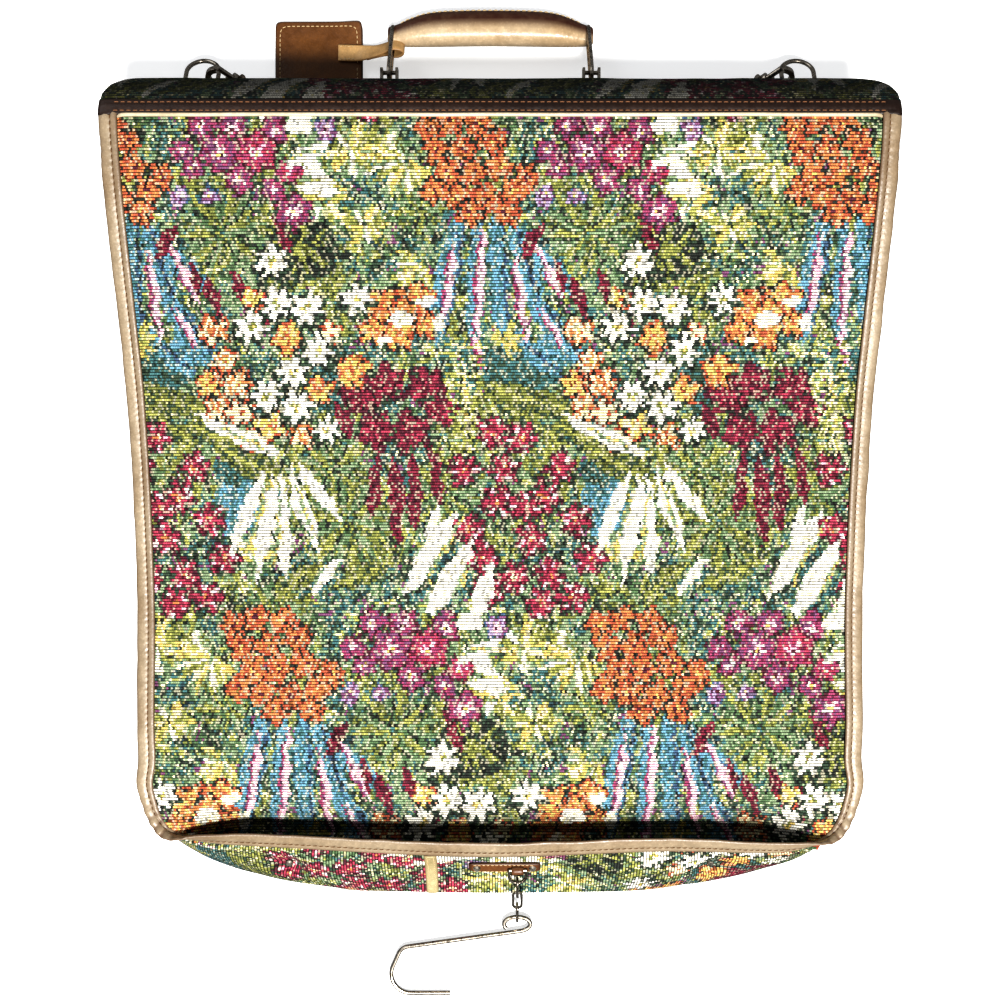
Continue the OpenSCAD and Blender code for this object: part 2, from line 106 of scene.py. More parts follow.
# ---------------------------------------------------------------- noise
def hsh(a, b, seed):
    n = (a.astype(np.int64) * 374761393 + b.astype(np.int64) * 668265263 + seed * 974634777) & 0xFFFFFFFF
    n = ((n ^ (n >> 13)) * 1274126177) & 0xFFFFFFFF
    return ((n ^ (n >> 16)) & 0xFFFF) / 65535.0


def vnoise(x, y, seed):
    x, y = np.broadcast_arrays(np.asarray(x, float), np.asarray(y, float))
    xi, yi = np.floor(x), np.floor(y)
    fx, fy = x - xi, y - yi
    fx, fy = fx * fx * (3 - 2 * fx), fy * fy * (3 - 2 * fy)
    a, b = hsh(xi, yi, seed), hsh(xi + 1, yi, seed)
    c, d = hsh(xi, yi + 1, seed), hsh(xi + 1, yi + 1, seed)
    return (a * (1 - fx) + b * fx) * (1 - fy) + (c * (1 - fx) + d * fx) * fy


# ---------------------------------------------------------------- yarns and the woven flowers
YARNS = {
    "black": (20, 26, 22), "dgreen": (36, 58, 40), "green": (64, 98, 56), "sage": (116, 142, 100),
    "olive": (104, 112, 40), "ygreen": (154, 156, 64), "teal": (46, 98, 100), "dteal": (26, 56, 64),
    "blue": (86, 146, 176), "navy": (44, 74, 110), "cream": (248, 245, 230), "pale": (234, 224, 170),
    "yellow": (218, 184, 80), "orange": (208, 112, 50), "rust": (172, 64, 34), "crimson": (122, 20, 44),
    "wine": (72, 14, 32), "fuchsia": (176, 40, 70), "magenta": (152, 44, 88), "plum": (112, 54, 98),
    "pink": (230, 170, 194), "lilac": (160, 136, 180),
}
YARN_NO = {k: i for i, k in enumerate(YARNS)}


def linear(c):
    c = np.asarray(c, float) / 255.0
    return np.where(c <= 0.04045, c / 12.92, ((c + 0.055) / 1.055) ** 2.4)


def softer(c):
    c = np.asarray(c, float)
    c = c + (c @ np.array([0.30, 0.59, 0.11]) - c) * 0.14
    return c + (np.array([255.0, 250.0, 236.0]) - c) * 0.13


YARN_RGB = np.array([linear(softer(c)) for c in YARNS.values()])
WEFT_RGB = linear((226, 218, 190))
LX, DX, DY = 366.0, -195.0, 497.0  # the repeat of the flowers: across, and a half drop


class Loom:
    """Picks a yarn for each stitch. u, v: place of the stitch on the cloth; i, j: its rib and its column."""

    def __init__(self, u, v, i, j):
        self.h = hsh(i, j, 5)
        self.h2 = hsh(i, j, 9)
        b = np.round((v - 365.0) / DY)
        uu, vv = u - b * DX, v - b * DY
        uu = uu - np.round((uu - 495.0) / LX) * LX
        self.u = uu + 6.4 * (vnoise(uu / 9, vv / 9, 21) - 0.5) + 1.6 * (self.h - 0.5)
        self.v = vv + 6.4 * (vnoise(uu / 9, vv / 9, 22) - 0.5)
        self.c = np.zeros(u.shape, np.int16)
        self.ground()

    def near(self, cx, cy, r):
        for b in (-1, 0, 1):
            for a in (-2, -1, 0, 1, 2):
                sx, sy = a * LX + b * DX, b * DY
                if abs(cx + sx - 495) <= LX / 2 + r + 8 and abs(cy + sy - 365) <= DY / 2 + r + 8:
                    yield self.u - cx - sx, self.v - cy - sy

    def put(self, m, a, b=None, p=0.35):
        self.c[m] = YARN_NO[a]
        if b is not None:
            self.c[m & (self.h < p)] = YARN_NO[b]

    def ground(self):
        u, v = self.u, self.v
        n1 = vnoise(u / 38, v / 46, 31)
        n2 = vnoise(u / 15, v / 19, 32)
        st = vnoise(u / 4.2, v / 15, 33)
        st2 = vnoise((u + v) / 5, (v - u) / 19, 34)
        self.put(np.ones(u.shape, bool), "green", "dgreen", 0.45)
        self.put(n1 < 0.42, "olive", "dgreen", 0.36)
        self.put(n1 > 0.60, "teal", "dgreen", 0.42)
        self.put(n2 > 0.64, "sage", "green", 0.4)
        self.put(n2 < 0.20, "black", "dgreen", 0.6)
        self.put((st > 0.66) & (n1 < 0.56), "ygreen", "olive", 0.45)
        self.put((st2 > 0.70) & (n1 > 0.45), "sage", "teal", 0.4)
        self.put(st < 0.22, "black", "dgreen", 0.5)
        self.put((st2 < 0.2) & (n1 > 0.5), "dteal", "black", 0.3)
        self.put((vnoise(u / 9, v / 9, 37) > 0.80) & (n1 > 0.35), "plum", "green", 0.45)
        self.put(vnoise(u / 8, v / 8, 38) > 0.83, "ygreen", "pale", 0.3)
        self.put(self.h2 > 0.93, "sage", "pale", 0.5)
        self.put((vnoise(u / 12, v / 5, 39) > 0.76), "sage", "teal", 0.4)

    def blob(self, cx, cy, rx, ry, a, b=None, p=0.35):
        for x, y in self.near(cx, cy, max(rx, ry)):
            self.put((x / rx) ** 2 + (y / ry) ** 2 < 1, a, b, p)

    def star(self, cx, cy, r, n, ph, depth, a, b=None, p=0.35):
        for x, y in self.near(cx, cy, r):
            self.put(np.hypot(x, y) < r * (1 - depth + depth * np.cos(n * np.arctan2(y, x) + ph)), a, b, p)

    def blade(self, x0, y0, x1, y1, w, a, b=None, p=0.35, mid=None):
        L = math.hypot(x1 - x0, y1 - y0)
        dx, dy = (x1 - x0) / L, (y1 - y0) / L
        for x, y in self.near((x0 + x1) / 2, (y0 + y1) / 2, L / 2 + w):
            t = (x * dx + y * dy) / L + 0.5
            d = np.abs(-x * dy + y * dx)
            m = (t > 0) & (t < 1) & (d < w / 2 * np.sin(np.pi * np.clip(t, 0.02, 0.98)) ** 0.7)
            self.put(m, a, b, p)
            if mid:
                self.put(m & (d < 1.6) & (t > 0.08) & (t < 0.92), mid)

    def spray(self, cx, cy, r, n, a0, a1, w, cols, inner=0.12, seed=1):
        rng = np.random.RandomState(seed)
        for k in range(n):
            an = math.radians(a0 + (a1 - a0) * (k + rng.uniform(-0.3, 0.3)) / max(n - 1, 1))
            R = r * rng.uniform(0.7, 1.0)
            cp = cols[k % len(cols)]
            self.blade(cx + inner * r * math.cos(an), cy + inner * r * math.sin(an), cx + R * math.cos(an),
                       cy + R * math.sin(an), w, cp[0], cp[1] if len(cp) > 1 else None)

    def daisy(self, cx, cy, r, ph=0.0):
        self.star(cx, cy + 2, r * 1.22, 7, ph, 0.16, "black", "dgreen", 0.5)
        self.star(cx, cy, r, 7, ph, 0.24, "cream")
        self.star(cx, cy, r * 0.32, 4, ph, 0.3, "olive", "yellow", 0.5)

    def rosette(self, cx, cy, r, ph=0.0, a="magenta", b="plum", dark="wine"):
        self.star(cx, cy, r * 1.14, 6, ph, 0.1, dark, "dgreen", 0.35)
        self.star(cx, cy, r, 6, ph, 0.12, a, b, 0.42)
        self.star(cx, cy, r * 0.42, 5, ph + 1, 0.3, "pink", "cream", 0.4)
        self.star(cx, cy, r * 0.16, 3, ph, 0.2, "yellow", "wine", 0.4)

    def floret(self, cx, cy, r, ph=0.0, a="orange", b="rust", eye="wine"):
        self.star(cx, cy, r * 1.18, 5, ph, 0.12, "black", "rust", 0.5)
        self.star(cx, cy, r, 5, ph, 0.22, a, b, 0.38)
        self.star(cx, cy, r * 0.3, 4, ph, 0.3, eye, "yellow", 0.4)

    def weave(self):
        # leaf masses
        for cx, cy, r, s in ((350, 520, 62, 3), (445, 495, 44, 4), (590, 232, 56, 5), (330, 470, 40, 6), (640, 610, 40, 8), (420, 210, 30, 9)):
            self.spray(cx, cy, r, 30, 0, 348, 7, [("olive", "dgreen"), ("sage", "green"), ("green", "black"), ("ygreen", "olive")], 0.05, s)
        self.blob(520, 366, 44, 26, "teal", "dgreen", 0.4)
        self.blob(560, 350, 26, 18, "blue", "teal", 0.45)
        self.blob(603, 505, 24, 32, "blue", "teal", 0.5)
        self.blob(600, 470, 20, 16, "teal", "dgreen", 0.4)
        self.blob(700, 380, 24, 36, "dgreen", "teal", 0.4)
        for x0, y0, x1, y1, w in ((478, 384, 592, 418, 26), (500, 404, 566, 446, 18), (575, 442, 662, 486, 28), (548, 424, 602, 442, 16), (330, 590, 400, 560, 18), (690, 560, 640, 600, 16)):
            self.blade(x0, y0, x1, y1, w, "olive", "dgreen", 0.35, "ygreen")
        # dark seed head
        self.blob(302, 250, 36, 32, "dgreen", "black", 0.45)
        self.spray(302, 250, 36, 26, 0, 348, 4, [("olive", "dgreen"), ("black",), ("ygreen", "olive")], 0.3, 11)
        self.blob(302, 250, 11, 9, "olive", "ygreen", 0.4)
        # blue fan with pale edges
        for x0, y0, x1, y1, w in ((464, 196, 438, 346, 20), (480, 200, 470, 352, 16), (496, 200, 503, 350, 20), (508, 212, 548, 338, 22), (524, 240, 582, 300, 20), (452, 226, 430, 322, 12), (540, 300, 584, 372, 16), (515, 330, 560, 380, 16)):
            self.blade(x0, y0, x1, y1, w, "blue", "teal", 0.36)
            self.blade(x0 + 5, y0 + 6, x1 + 6, y1, 4, "navy", "black", 0.3)
        for x0, y0, x1, y1, w in ((456, 232, 441, 332, 8), (484, 226, 476, 348, 9), (514, 250, 528, 344, 8), (532, 236, 566, 306, 8), (470, 330, 486, 372, 6), (540, 306, 566, 352, 7)):
            self.blade(x0, y0, x1, y1, w, "pink", "cream", 0.25)
            self.blade(x0 - 4, y0, x1 - 4, y1, 3, "magenta", "plum", 0.4)
        self.spray(506, 340, 20, 8, 0, 315, 5, [("ygreen", "yellow")], 0.05, 12)
        # crimson leaves
        for cx, cy, r in ((360, 396, 22), (386, 384, 21), (426, 386, 21), (441, 411, 19), (411, 432, 23), (376, 431, 20)):
            self.star(cx, cy, r * 1.1, 5, cx, 0.15, "wine", "black", 0.3)
            self.star(cx, cy, r, 5, cx, 0.2, "crimson", "wine", 0.4)
            self.spray(cx, cy, r, 6, 0, 300, 3.5, [("fuchsia", "crimson")], 0.1, int(cx))
            self.spray(cx, cy, r * 1.1, 4, 30, 300, 5, [("dgreen", "green")], 0.5, int(cx) + 1)
        for x0, y0, x1, y1, w in ((394, 456, 398, 545, 17), (414, 452, 414, 534, 14), (432, 445, 440, 505, 12), (378, 450, 372, 520, 12), (545, 222, 520, 262, 12), (572, 276, 586, 318, 14), (600, 270, 612, 312, 13), (634, 288, 628, 330, 12), (556, 262, 566, 300, 10), (640, 215, 655, 255, 12), (335, 400, 352, 440, 12)):
            self.blade(x0, y0, x1, y1, w, "crimson", "wine", 0.4)
        # fern
        self.blade(462, 340, 470, 472, 4, "pale", "yellow", 0.3)
        for k in range(13):
            y = 350 + k * 9
            for s in (-1, 1):
                self.blade(464 + k * 0.4, y, 464 + s * (22 - k * 0.7), y - 5 + s, 4, "ygreen", "pale", 0.35)
        # yellow and cream sprays
        for cx, cy, r, n, a0, a1, s in ((405, 160, 42, 15, 40, 250, 21), (350, 148, 34, 13, 0, 330, 22), (366, 226, 28, 13, 0, 335, 23), (421, 262, 32, 11, 60, 200, 24), (330, 180, 26, 9, 30, 210, 25), (620, 560, 30, 11, 200, 340, 26), (690, 200, 26, 10, 0, 330, 27)):
            self.spray(cx, cy, r, n, a0, a1, 7, [("yellow", "ygreen"), ("pale", "yellow"), ("ygreen", "olive"), ("cream", "pale"), ("sage", "olive")], 0.08, s)
        # magenta heads
        for cx, cy, r in ((568, 128, 14), (598, 126, 16), (640, 130, 16), (586, 152, 21), (623, 152, 21), (560, 168, 13), (606, 180, 15), (660, 212, 19), (655, 172, 14), (548, 150, 12), (640, 190, 12)):
            self.rosette(cx, cy, r, cx * 0.7, "magenta", "fuchsia" if int(cx) % 2 else "plum")
        for cx, cy, r in ((545, 196, 11), (575, 196, 10), (690, 130, 12)):
            self.rosette(cx, cy, r, cx, "lilac", "plum", "navy")
        # orange heads
        for cx, cy in ((428, 128), (452, 121), (479, 125), (436, 150), (463, 149), (492, 141), (448, 173), (474, 173), (501, 166), (459, 196), (487, 198), (513, 190), (527, 176), (506, 212), (470, 214), (434, 192)):
            self.floret(cx, cy, 14, cx + cy)
        # orange and cream flower
        for cx, cy, r in ((382, 306, 18), (416, 298, 18), (398, 334, 18), (428, 324, 14), (372, 330, 14), (404, 312, 15)):
            self.floret(cx, cy, r, cx, "orange", "yellow", "rust")
        for cx, cy, rx, ry in ((402, 319, 12, 8), (426, 302, 9, 6), (386, 340, 7, 5), (440, 322, 6, 10)):
            self.blob(cx, cy, rx, ry, "cream", "pale", 0.2)
        # small heads among the daisies
        for cx, cy, r in ((213, 331, 15), (287, 338, 16), (254, 300, 13), (237, 384, 15), (353, 372, 16), (317, 391, 15), (219, 409, 14), (240, 412, 14), (272, 424, 16), (303, 434, 13), (330, 335, 12), (575, 385, 14), (586, 362, 11), (252, 440, 12), (225, 360, 12)):
            self.floret(cx, cy, r, cy, "yellow" if int(cx) % 3 else "pale", "orange" if int(cx) % 2 else "pale", "rust")
        # fuchsia stars
        for cx, cy in ((492, 432), (521, 438), (504, 468), (560, 468), (545, 496), (497, 503), (530, 540), (576, 520), (590, 558), (551, 574), (481, 556), (514, 578), (468, 528), (525, 508), (572, 596), (488, 590), (540, 604), (465, 470)):
            self.star(cx, cy, 19, 6, cx, 0.1, "wine", "dgreen", 0.45)
            self.star(cx, cy, 17, 6, cx, 0.3, "fuchsia", "crimson", 0.42)
            self.spray(cx, cy, 17, 4, 20 + cx % 60, 300 + cx % 60, 4, [("pink", "cream")], 0.45, int(cx))
            self.star(cx, cy, 4, 4, 0, 0.3, "orange", "pale", 0.4)
        # cream blades and drooping petals
        for x0, y0, x1, y1, w in ((455, 512, 404, 598, 21), (474, 540, 428, 616, 22), (492, 560, 474, 628, 15), (440, 500, 424, 560, 11), (632, 468, 596, 556, 15), (640, 474, 622, 584, 17), (648, 474, 652, 580, 17), (656, 470, 684, 552, 15), (662, 462, 706, 520, 13), (560, 414, 646, 456, 15), (652, 166, 694, 142, 15), (662, 186, 704, 192, 13), (668, 160, 690, 182, 13), (310, 596, 340, 560, 11)):
            self.blade(x0, y0, x1, y1, w, "cream", "pale", 0.10)
        for x0, y0, x1, y1 in ((462, 516, 424, 590), (478, 552, 448, 606), (636, 480, 612, 560), (650, 482, 640, 572), (660, 478, 680, 540), (652, 160, 690, 148), (580, 424, 636, 452)):
            self.blade(x0, y0, x1, y1, 4, "sage", "yellow", 0.4)
        for cx, cy, rx, ry in ((676, 168, 9, 8), (470, 622, 12, 10)):
            self.blob(cx, cy, rx, ry, "cream", "pale", 0.1)
        # daisies
        for cx, cy, r in ((251, 327, 18), (276, 304, 17), (308, 308, 18), (318, 350, 18), (292, 373, 17), (267, 396, 18), (296, 406, 17), (327, 430, 15), (357, 299, 17), (637, 262, 18)):
            self.daisy(cx, cy, r, cx * 1.3)
        return self.c


# ---------------------------------------------------------------- materials
class Mat:
    def __init__(self, name):
        self.m = bpy.data.materials.new(name)
        self.m.use_nodes = True
        self.t = self.m.node_tree
        self.t.nodes.clear()
        self.out = self.t.nodes.new("ShaderNodeOutputMaterial")
        self.b = self.t.nodes.new("ShaderNodeBsdfPrincipled")
        self.t.links.new(self.b.outputs[0], self.out.inputs[0])

    def node(self, kind, **props):
        n = self.t.nodes.new(kind)
        for k, v in props.items():
            setattr(n, k, v)
        return n

    def into(self, value, socket):
        if hasattr(value, "is_linked"):
            self.t.links.new(value, socket)
        else:
            socket.default_value = value

    def math(self, op, a, b=None):
        n = self.node("ShaderNodeMath", operation=op)
        self.into(a, n.inputs[0])
        if b is not None:
            self.into(b, n.inputs[1])
        return n.outputs[0]

    def span(self, v, a0, a1, b0, b1):
        n = self.node("ShaderNodeMapRange", interpolation_type="SMOOTHSTEP")
        self.into(v, n.inputs[0])
        for k, x in zip((1, 2, 3, 4), (a0, a1, b0, b1)):
            n.inputs[k].default_value = x
        return n.outputs[0]

    def mix(self, f, a, b, how="MIX"):
        n = self.node("ShaderNodeMix", data_type="RGBA", blend_type=how)
        self.into(f, n.inputs[0])
        self.into(a, n.inputs[6])
        self.into(b, n.inputs[7])
        return n.outputs[2]

    def noise(self, scale, detail=2.0, rough=0.5, vec=None):
        n = self.node("ShaderNodeTexNoise")
        n.inputs["Scale"].default_value = scale
        n.inputs["Detail"].default_value = detail
        n.inputs["Roughness"].default_value = rough
        if vec is not None:
            self.t.links.new(vec, n.inputs["Vector"])
        return n.outputs[0]

    def place(self):
        return self.node("ShaderNodeTexCoord").outputs["Object"]

    def bump(self, height, distance, strength=1.0):
        n = self.node("ShaderNodeBump")
        n.inputs["Strength"].default_value = strength
        n.inputs["Distance"].default_value = distance
        self.t.links.new(height, n.inputs["Height"])
        self.t.links.new(n.outputs[0], self.b.inputs["Normal"])

    def set(self, **kw):
        for k, v in kw.items():
            self.into(v, self.b.inputs[k.replace("_", " ")])
        return self.m


def rgba(c, k=1.0):
    return tuple(float(x) * k for x in linear(c)) + (1.0,)


def tapestry_material():
    m = Mat("tapestry")
    yarn_a = m.node("ShaderNodeAttribute", attribute_name="yarn").outputs["Color"]
    yarn_b = m.node("ShaderNodeAttribute", attribute_name="yarn_b").outputs["Color"]
    uv = m.node("ShaderNodeUVMap", uv_map="weave").outputs[0]
    sep = m.node("ShaderNodeSeparateXYZ")
    m.t.links.new(uv, sep.inputs[0])
    u, v = sep.outputs[0], sep.outputs[1]
    yarn = m.mix(m.math("GREATER_THAN", m.math("FRACT", u), 0.5), yarn_a, yarn_b)
    rib = m.math("SINE", m.math("MULTIPLY", m.math("FRACT", v), math.pi))
    st = m.math("SINE", m.math("MULTIPLY", m.math("FRACT", m.math("MULTIPLY", u, 2.0)), math.pi))
    fibre = m.noise(1500.0, 2.0, 0.6, m.place())
    blotch = m.noise(26.0, 3.0, 0.5, m.place())
    # dark lines between ribs and between stitches: partly the weft seen in the grooves, partly painted shade in the
    # grooves
    rib_groove_shade = m.span(rib, 0.08, 0.80, 0.03, 1.0)
    seam = m.span(st, 0.0, 0.55, 0.45, 1.0)
    c = m.mix(1.0, yarn, rib_groove_shade, "MULTIPLY")
    c = m.mix(1.0, c, seam, "MULTIPLY")
    c = m.mix(1.0, c, m.span(fibre, 0.25, 0.75, 0.80, 1.12), "MULTIPLY")
    c = m.mix(1.0, c, m.span(blotch, 0.25, 0.75, 0.90, 1.06), "MULTIPLY")
    h = m.math("ADD", m.math("MULTIPLY", rib, 0.55), m.math("ADD", m.math("MULTIPLY", st, 0.25), m.math("MULTIPLY", fibre, 0.3)))
    m.bump(h, 0.0006, 0.8)
    return m.set(Base_Color=c, Roughness=0.88, Specular_IOR_Level=0.16, Sheen_Weight=0.03, Sheen_Roughness=0.5)


def leather_material(name, light, dark, edge, rough, grain=520.0, depth=0.00022, wear_and_shade_floor=0.5, spec=0.5):
    m = Mat(name)
    p = m.place()
    big = m.noise(16.0, 4.0, 0.6, p)
    fine = m.noise(170.0, 3.0, 0.65, p)
    vor = m.node("ShaderNodeTexVoronoi")
    vor.inputs["Scale"].default_value = grain
    m.t.links.new(p, vor.inputs["Vector"])
    cell = vor.outputs["Distance"]
    pore = m.noise(grain * 1.7, 2.0, 0.6, p)
    c = m.mix(m.span(big, 0.30, 0.72, 0.0, 1.0), rgba(light), rgba(dark))
    c = m.mix(1.0, c, m.span(fine, 0.28, 0.72, 0.86, 1.08), "MULTIPLY")
    c = m.mix(1.0, c, m.span(cell, 0.0, 0.5, 1.05, 0.86), "MULTIPLY")
    # the edge attribute darkens toward the edge colour: rubbed wear on rims, and painted shade where a piece sets it so
    # (the grip's far side, the pleat valleys, the piping's underside)
    e = m.node("ShaderNodeAttribute", attribute_name="edge").outputs["Fac"]
    e = m.math("MULTIPLY", e, m.span(fine, 0.2, 0.7, wear_and_shade_floor, 1.0))
    c = m.mix(e, c, rgba(edge))
    h = m.math("ADD", m.math("MULTIPLY", cell, -0.7), m.math("ADD", m.math("MULTIPLY", pore, 0.25), m.math("MULTIPLY", fine, 0.6)))
    m.bump(h, depth, 0.7)
    return m.set(Base_Color=c, Roughness=m.span(fine, 0.25, 0.75, rough - 0.07, rough + 0.09), Specular_IOR_Level=spec)


def metal_material(name, light, dark, rough, scratch=0.12):
    m = Mat(name)
    p = m.place()
    big = m.noise(90.0, 4.0, 0.6, p)
    fine = m.noise(1400.0, 2.0, 0.6, p)
    tarn = m.noise(260.0, 3.0, 0.6, p)
    c = m.mix(m.span(tarn, 0.46, 0.72, 0.0, 1.0), rgba(light), rgba(dark))
    m.bump(m.math("ADD", m.math("MULTIPLY", big, 0.6), m.math("MULTIPLY", fine, 0.25)), 0.00006, 0.5)
    return m.set(Base_Color=c, Metallic=1.0, Roughness=m.span(fine, 0.2, 0.8, rough - scratch / 2, rough + scratch))


def woven_material(name, light, dark, pitch, rough=0.9):
    m = Mat(name)
    p = m.place()
    sep = m.node("ShaderNodeSeparateXYZ")
    m.t.links.new(p, sep.inputs[0])
    k = 2 * math.pi / pitch
    a = m.math("SINE", m.math("MULTIPLY", m.math("ADD", sep.outputs[0], sep.outputs[2]), k))
    b = m.math("SINE", m.math("MULTIPLY", sep.outputs[1], k))
    w = m.math("MULTIPLY", a, b)
    n = m.noise(60.0, 3.0, 0.6, p)
    c = m.mix(m.span(w, -0.6, 0.6, 0.0, 1.0), rgba(dark), rgba(light))
    c = m.mix(1.0, c, m.span(n, 0.3, 0.7, 0.8, 1.1), "MULTIPLY")
    m.bump(w, 0.00012, 0.8)
    return m.set(Base_Color=c, Roughness=rough, Specular_IOR_Level=0.2, Sheen_Weight=0.2)


def thread_material(name, light, dark):
    m = Mat(name)
    p = m.place()
    wave = m.node("ShaderNodeTexWave", bands_direction="DIAGONAL")
    wave.inputs["Scale"].default_value = 900.0
    wave.inputs["Distortion"].default_value = 1.5
    m.t.links.new(p, wave.inputs["Vector"])
    c = m.mix(m.span(wave.outputs["Fac"], 0.2, 0.8, 0.0, 1.0), rgba(dark), rgba(light))
    m.bump(wave.outputs["Fac"], 0.0001, 0.7)
    return m.set(Base_Color=c, Roughness=0.7, Specular_IOR_Level=0.25)


M_TAP = tapestry_material()
M_TAN = leather_material("tan_vinyl", (156, 141, 119), (133, 115, 92), (84, 62, 45), 0.42)
M_TAPE = leather_material("tape_vinyl", (184, 172, 134), (162, 147, 108), (116, 94, 60), 0.42)
# painted shade: the fold's bands use a darkened copy of the tan vinyl, standing in for the shade they lie in
M_BAND_SHADED = leather_material("band_vinyl_painted_shade", (48, 32, 24), (34, 22, 17), (24, 16, 12), 0.44)
# the grip's dark edge colour is also its painted shade colour on the far side
M_GRIP = leather_material("grip_leather", (190, 170, 142), (168, 144, 112), (58, 30, 19), 0.36, 460.0, wear_and_shade_floor=0.9)
M_STRAP = leather_material("strap_leather", (198, 162, 112), (176, 138, 88), (112, 76, 44), 0.46, 600.0)
M_TAG = leather_material("tag_leather", (110, 69, 21), (78, 45, 12), (48, 27, 11), 0.46, 620.0)
M_TAB = leather_material("tab_leather", (110, 70, 36), (84, 50, 24), (54, 32, 16), 0.46, 600.0)
M_CREAM = leather_material("cream_vinyl", (204, 192, 168), (186, 170, 140), (150, 128, 96), 0.38, 700.0, 0.0001)
M_THREAD = thread_material("thread", (214, 194, 156), (150, 122, 84))
# painted shade: a darkened copy of the thread for the bands' stitches
M_BTHREAD_SHADED = thread_material("thread_band_painted_shade", (146, 106, 76), (92, 62, 44))
M_DTHREAD = thread_material("thread_dark", (112, 84, 54), (66, 46, 28))
M_NICKEL = metal_material("nickel", (168, 160, 148), (84, 76, 66), 0.24)
M_RIVET = metal_material("rivet", (222, 214, 198), (140, 130, 116), 0.34)
M_BRASS = metal_material("brass", (206, 170, 96), (132, 98, 48), 0.30)
M_LINING = woven_material("lining", (92, 74, 58), (58, 44, 34), 0.0011)
M_ZIP = woven_material("zip_tape", (116, 82, 56), (74, 50, 34), 0.0014)
M_BOARD = woven_material("fibreboard", (128, 106, 80), (104, 84, 60), 0.0042)
M_CARD = woven_material("card", (238, 230, 210), (226, 214, 190), 0.0009)

# ---------------------------------------------------------------- mesh helpers
pieces = {}


def grid(nr, nc, close=False):
    i, j = np.meshgrid(np.arange(nr - 1), np.arange(nc if close else nc - 1), indexing="ij")
    k = (j + 1) % nc
    return np.stack([i * nc + j, i * nc + k, (i + 1) * nc + k, (i + 1) * nc + j], -1).reshape(-1, 4)


def make(name, v, quads, mat, body="bag", tris=None, uv=None, col=None, edge=None, stands=(), slot=None, tidy=True):
    v = np.asarray(v, float) * 0.001
    quads = np.asarray(quads, np.int64).reshape(-1, 4)
    tris = np.zeros((0, 3), np.int64) if tris is None else np.asarray(tris, np.int64).reshape(-1, 3)
    used = np.unique(np.r_[quads.ravel(), tris.ravel()])
    new = np.full(len(v), -1, np.int64)
    new[used] = np.arange(len(used))
    v, quads, tris = v[used], new[quads], new[tris]
    me = bpy.data.meshes.new(name)
    me.vertices.add(len(v))
    me.vertices.foreach_set("co", v.astype(np.float32).ravel())
    loops = np.r_[quads.ravel(), tris.ravel()].astype(np.int32)
    me.loops.add(len(loops))
    me.loops.foreach_set("vertex_index", loops)
    starts = np.r_[np.arange(len(quads)) * 4, len(quads) * 4 + np.arange(len(tris)) * 3].astype(np.int32)
    me.polygons.add(len(starts))
    me.polygons.foreach_set("loop_start", starts)
    me.update(calc_edges=True)
    me.polygons.foreach_set("use_smooth", np.ones(len(starts), bool))
    if uv is not None:
        lay = me.uv_layers.new(name="weave")
        lay.data.foreach_set("uv", np.asarray(uv, np.float32).ravel())
    if col is not None:
        for nm, c in zip(("yarn", "yarn_b"), col):
            att = me.color_attributes.new(nm, "FLOAT_COLOR", "CORNER")
            att.data.foreach_set("color", np.asarray(c, np.float32).ravel())
    if edge is not None:
        att = me.attributes.new("edge", "FLOAT", "POINT")
        att.data.foreach_set("value", np.asarray(edge, np.float32)[used])
    me.materials.append(mat)
    if tidy:
        bm = bmesh.new()
        bm.from_mesh(me)
        bmesh.ops.remove_doubles(bm, verts=bm.verts, dist=1e-6)
        bmesh.ops.recalc_face_normals(bm, faces=bm.faces)
        bm.to_mesh(me)
        bm.free()
    me.validate()
    o = bpy.data.objects.new(name, me)
    scene.collection.objects.link(o)
    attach(o, body)
    if stands:
        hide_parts(*stands)
    pieces[name] = o
    return o


def loft(name, sec, mat, body="bag", edge=None, **kw):
    """A closed skin over rings of points, with both ends filled."""
    n, m, _ = sec.shape
    v = np.vstack([sec.reshape(-1, 3), sec[0].mean(0)[None], sec[-1].mean(0)[None]])
    j = np.arange(m)
    k = (j + 1) % m
    tris = np.r_[np.stack([np.full(m, n * m), k, j], 1), np.stack([np.full(m, n * m + 1), (n - 1) * m + j, (n - 1) * m + k], 1)]
    if edge is not None:
        edge = np.r_[np.broadcast_to(edge, (n, m)).ravel(), 0.0, 0.0]
    return make(name, v, grid(n, m, True), mat, body, tris=tris, edge=edge, **kw)


def frames(p, up):
    """Directions along, beside and over a line of points."""
    t = unit(np.gradient(p, axis=0))
    up = np.broadcast_to(np.asarray(up, float), p.shape)
    b = unit(np.cross(t, up))
    return t, b, np.cross(b, t)


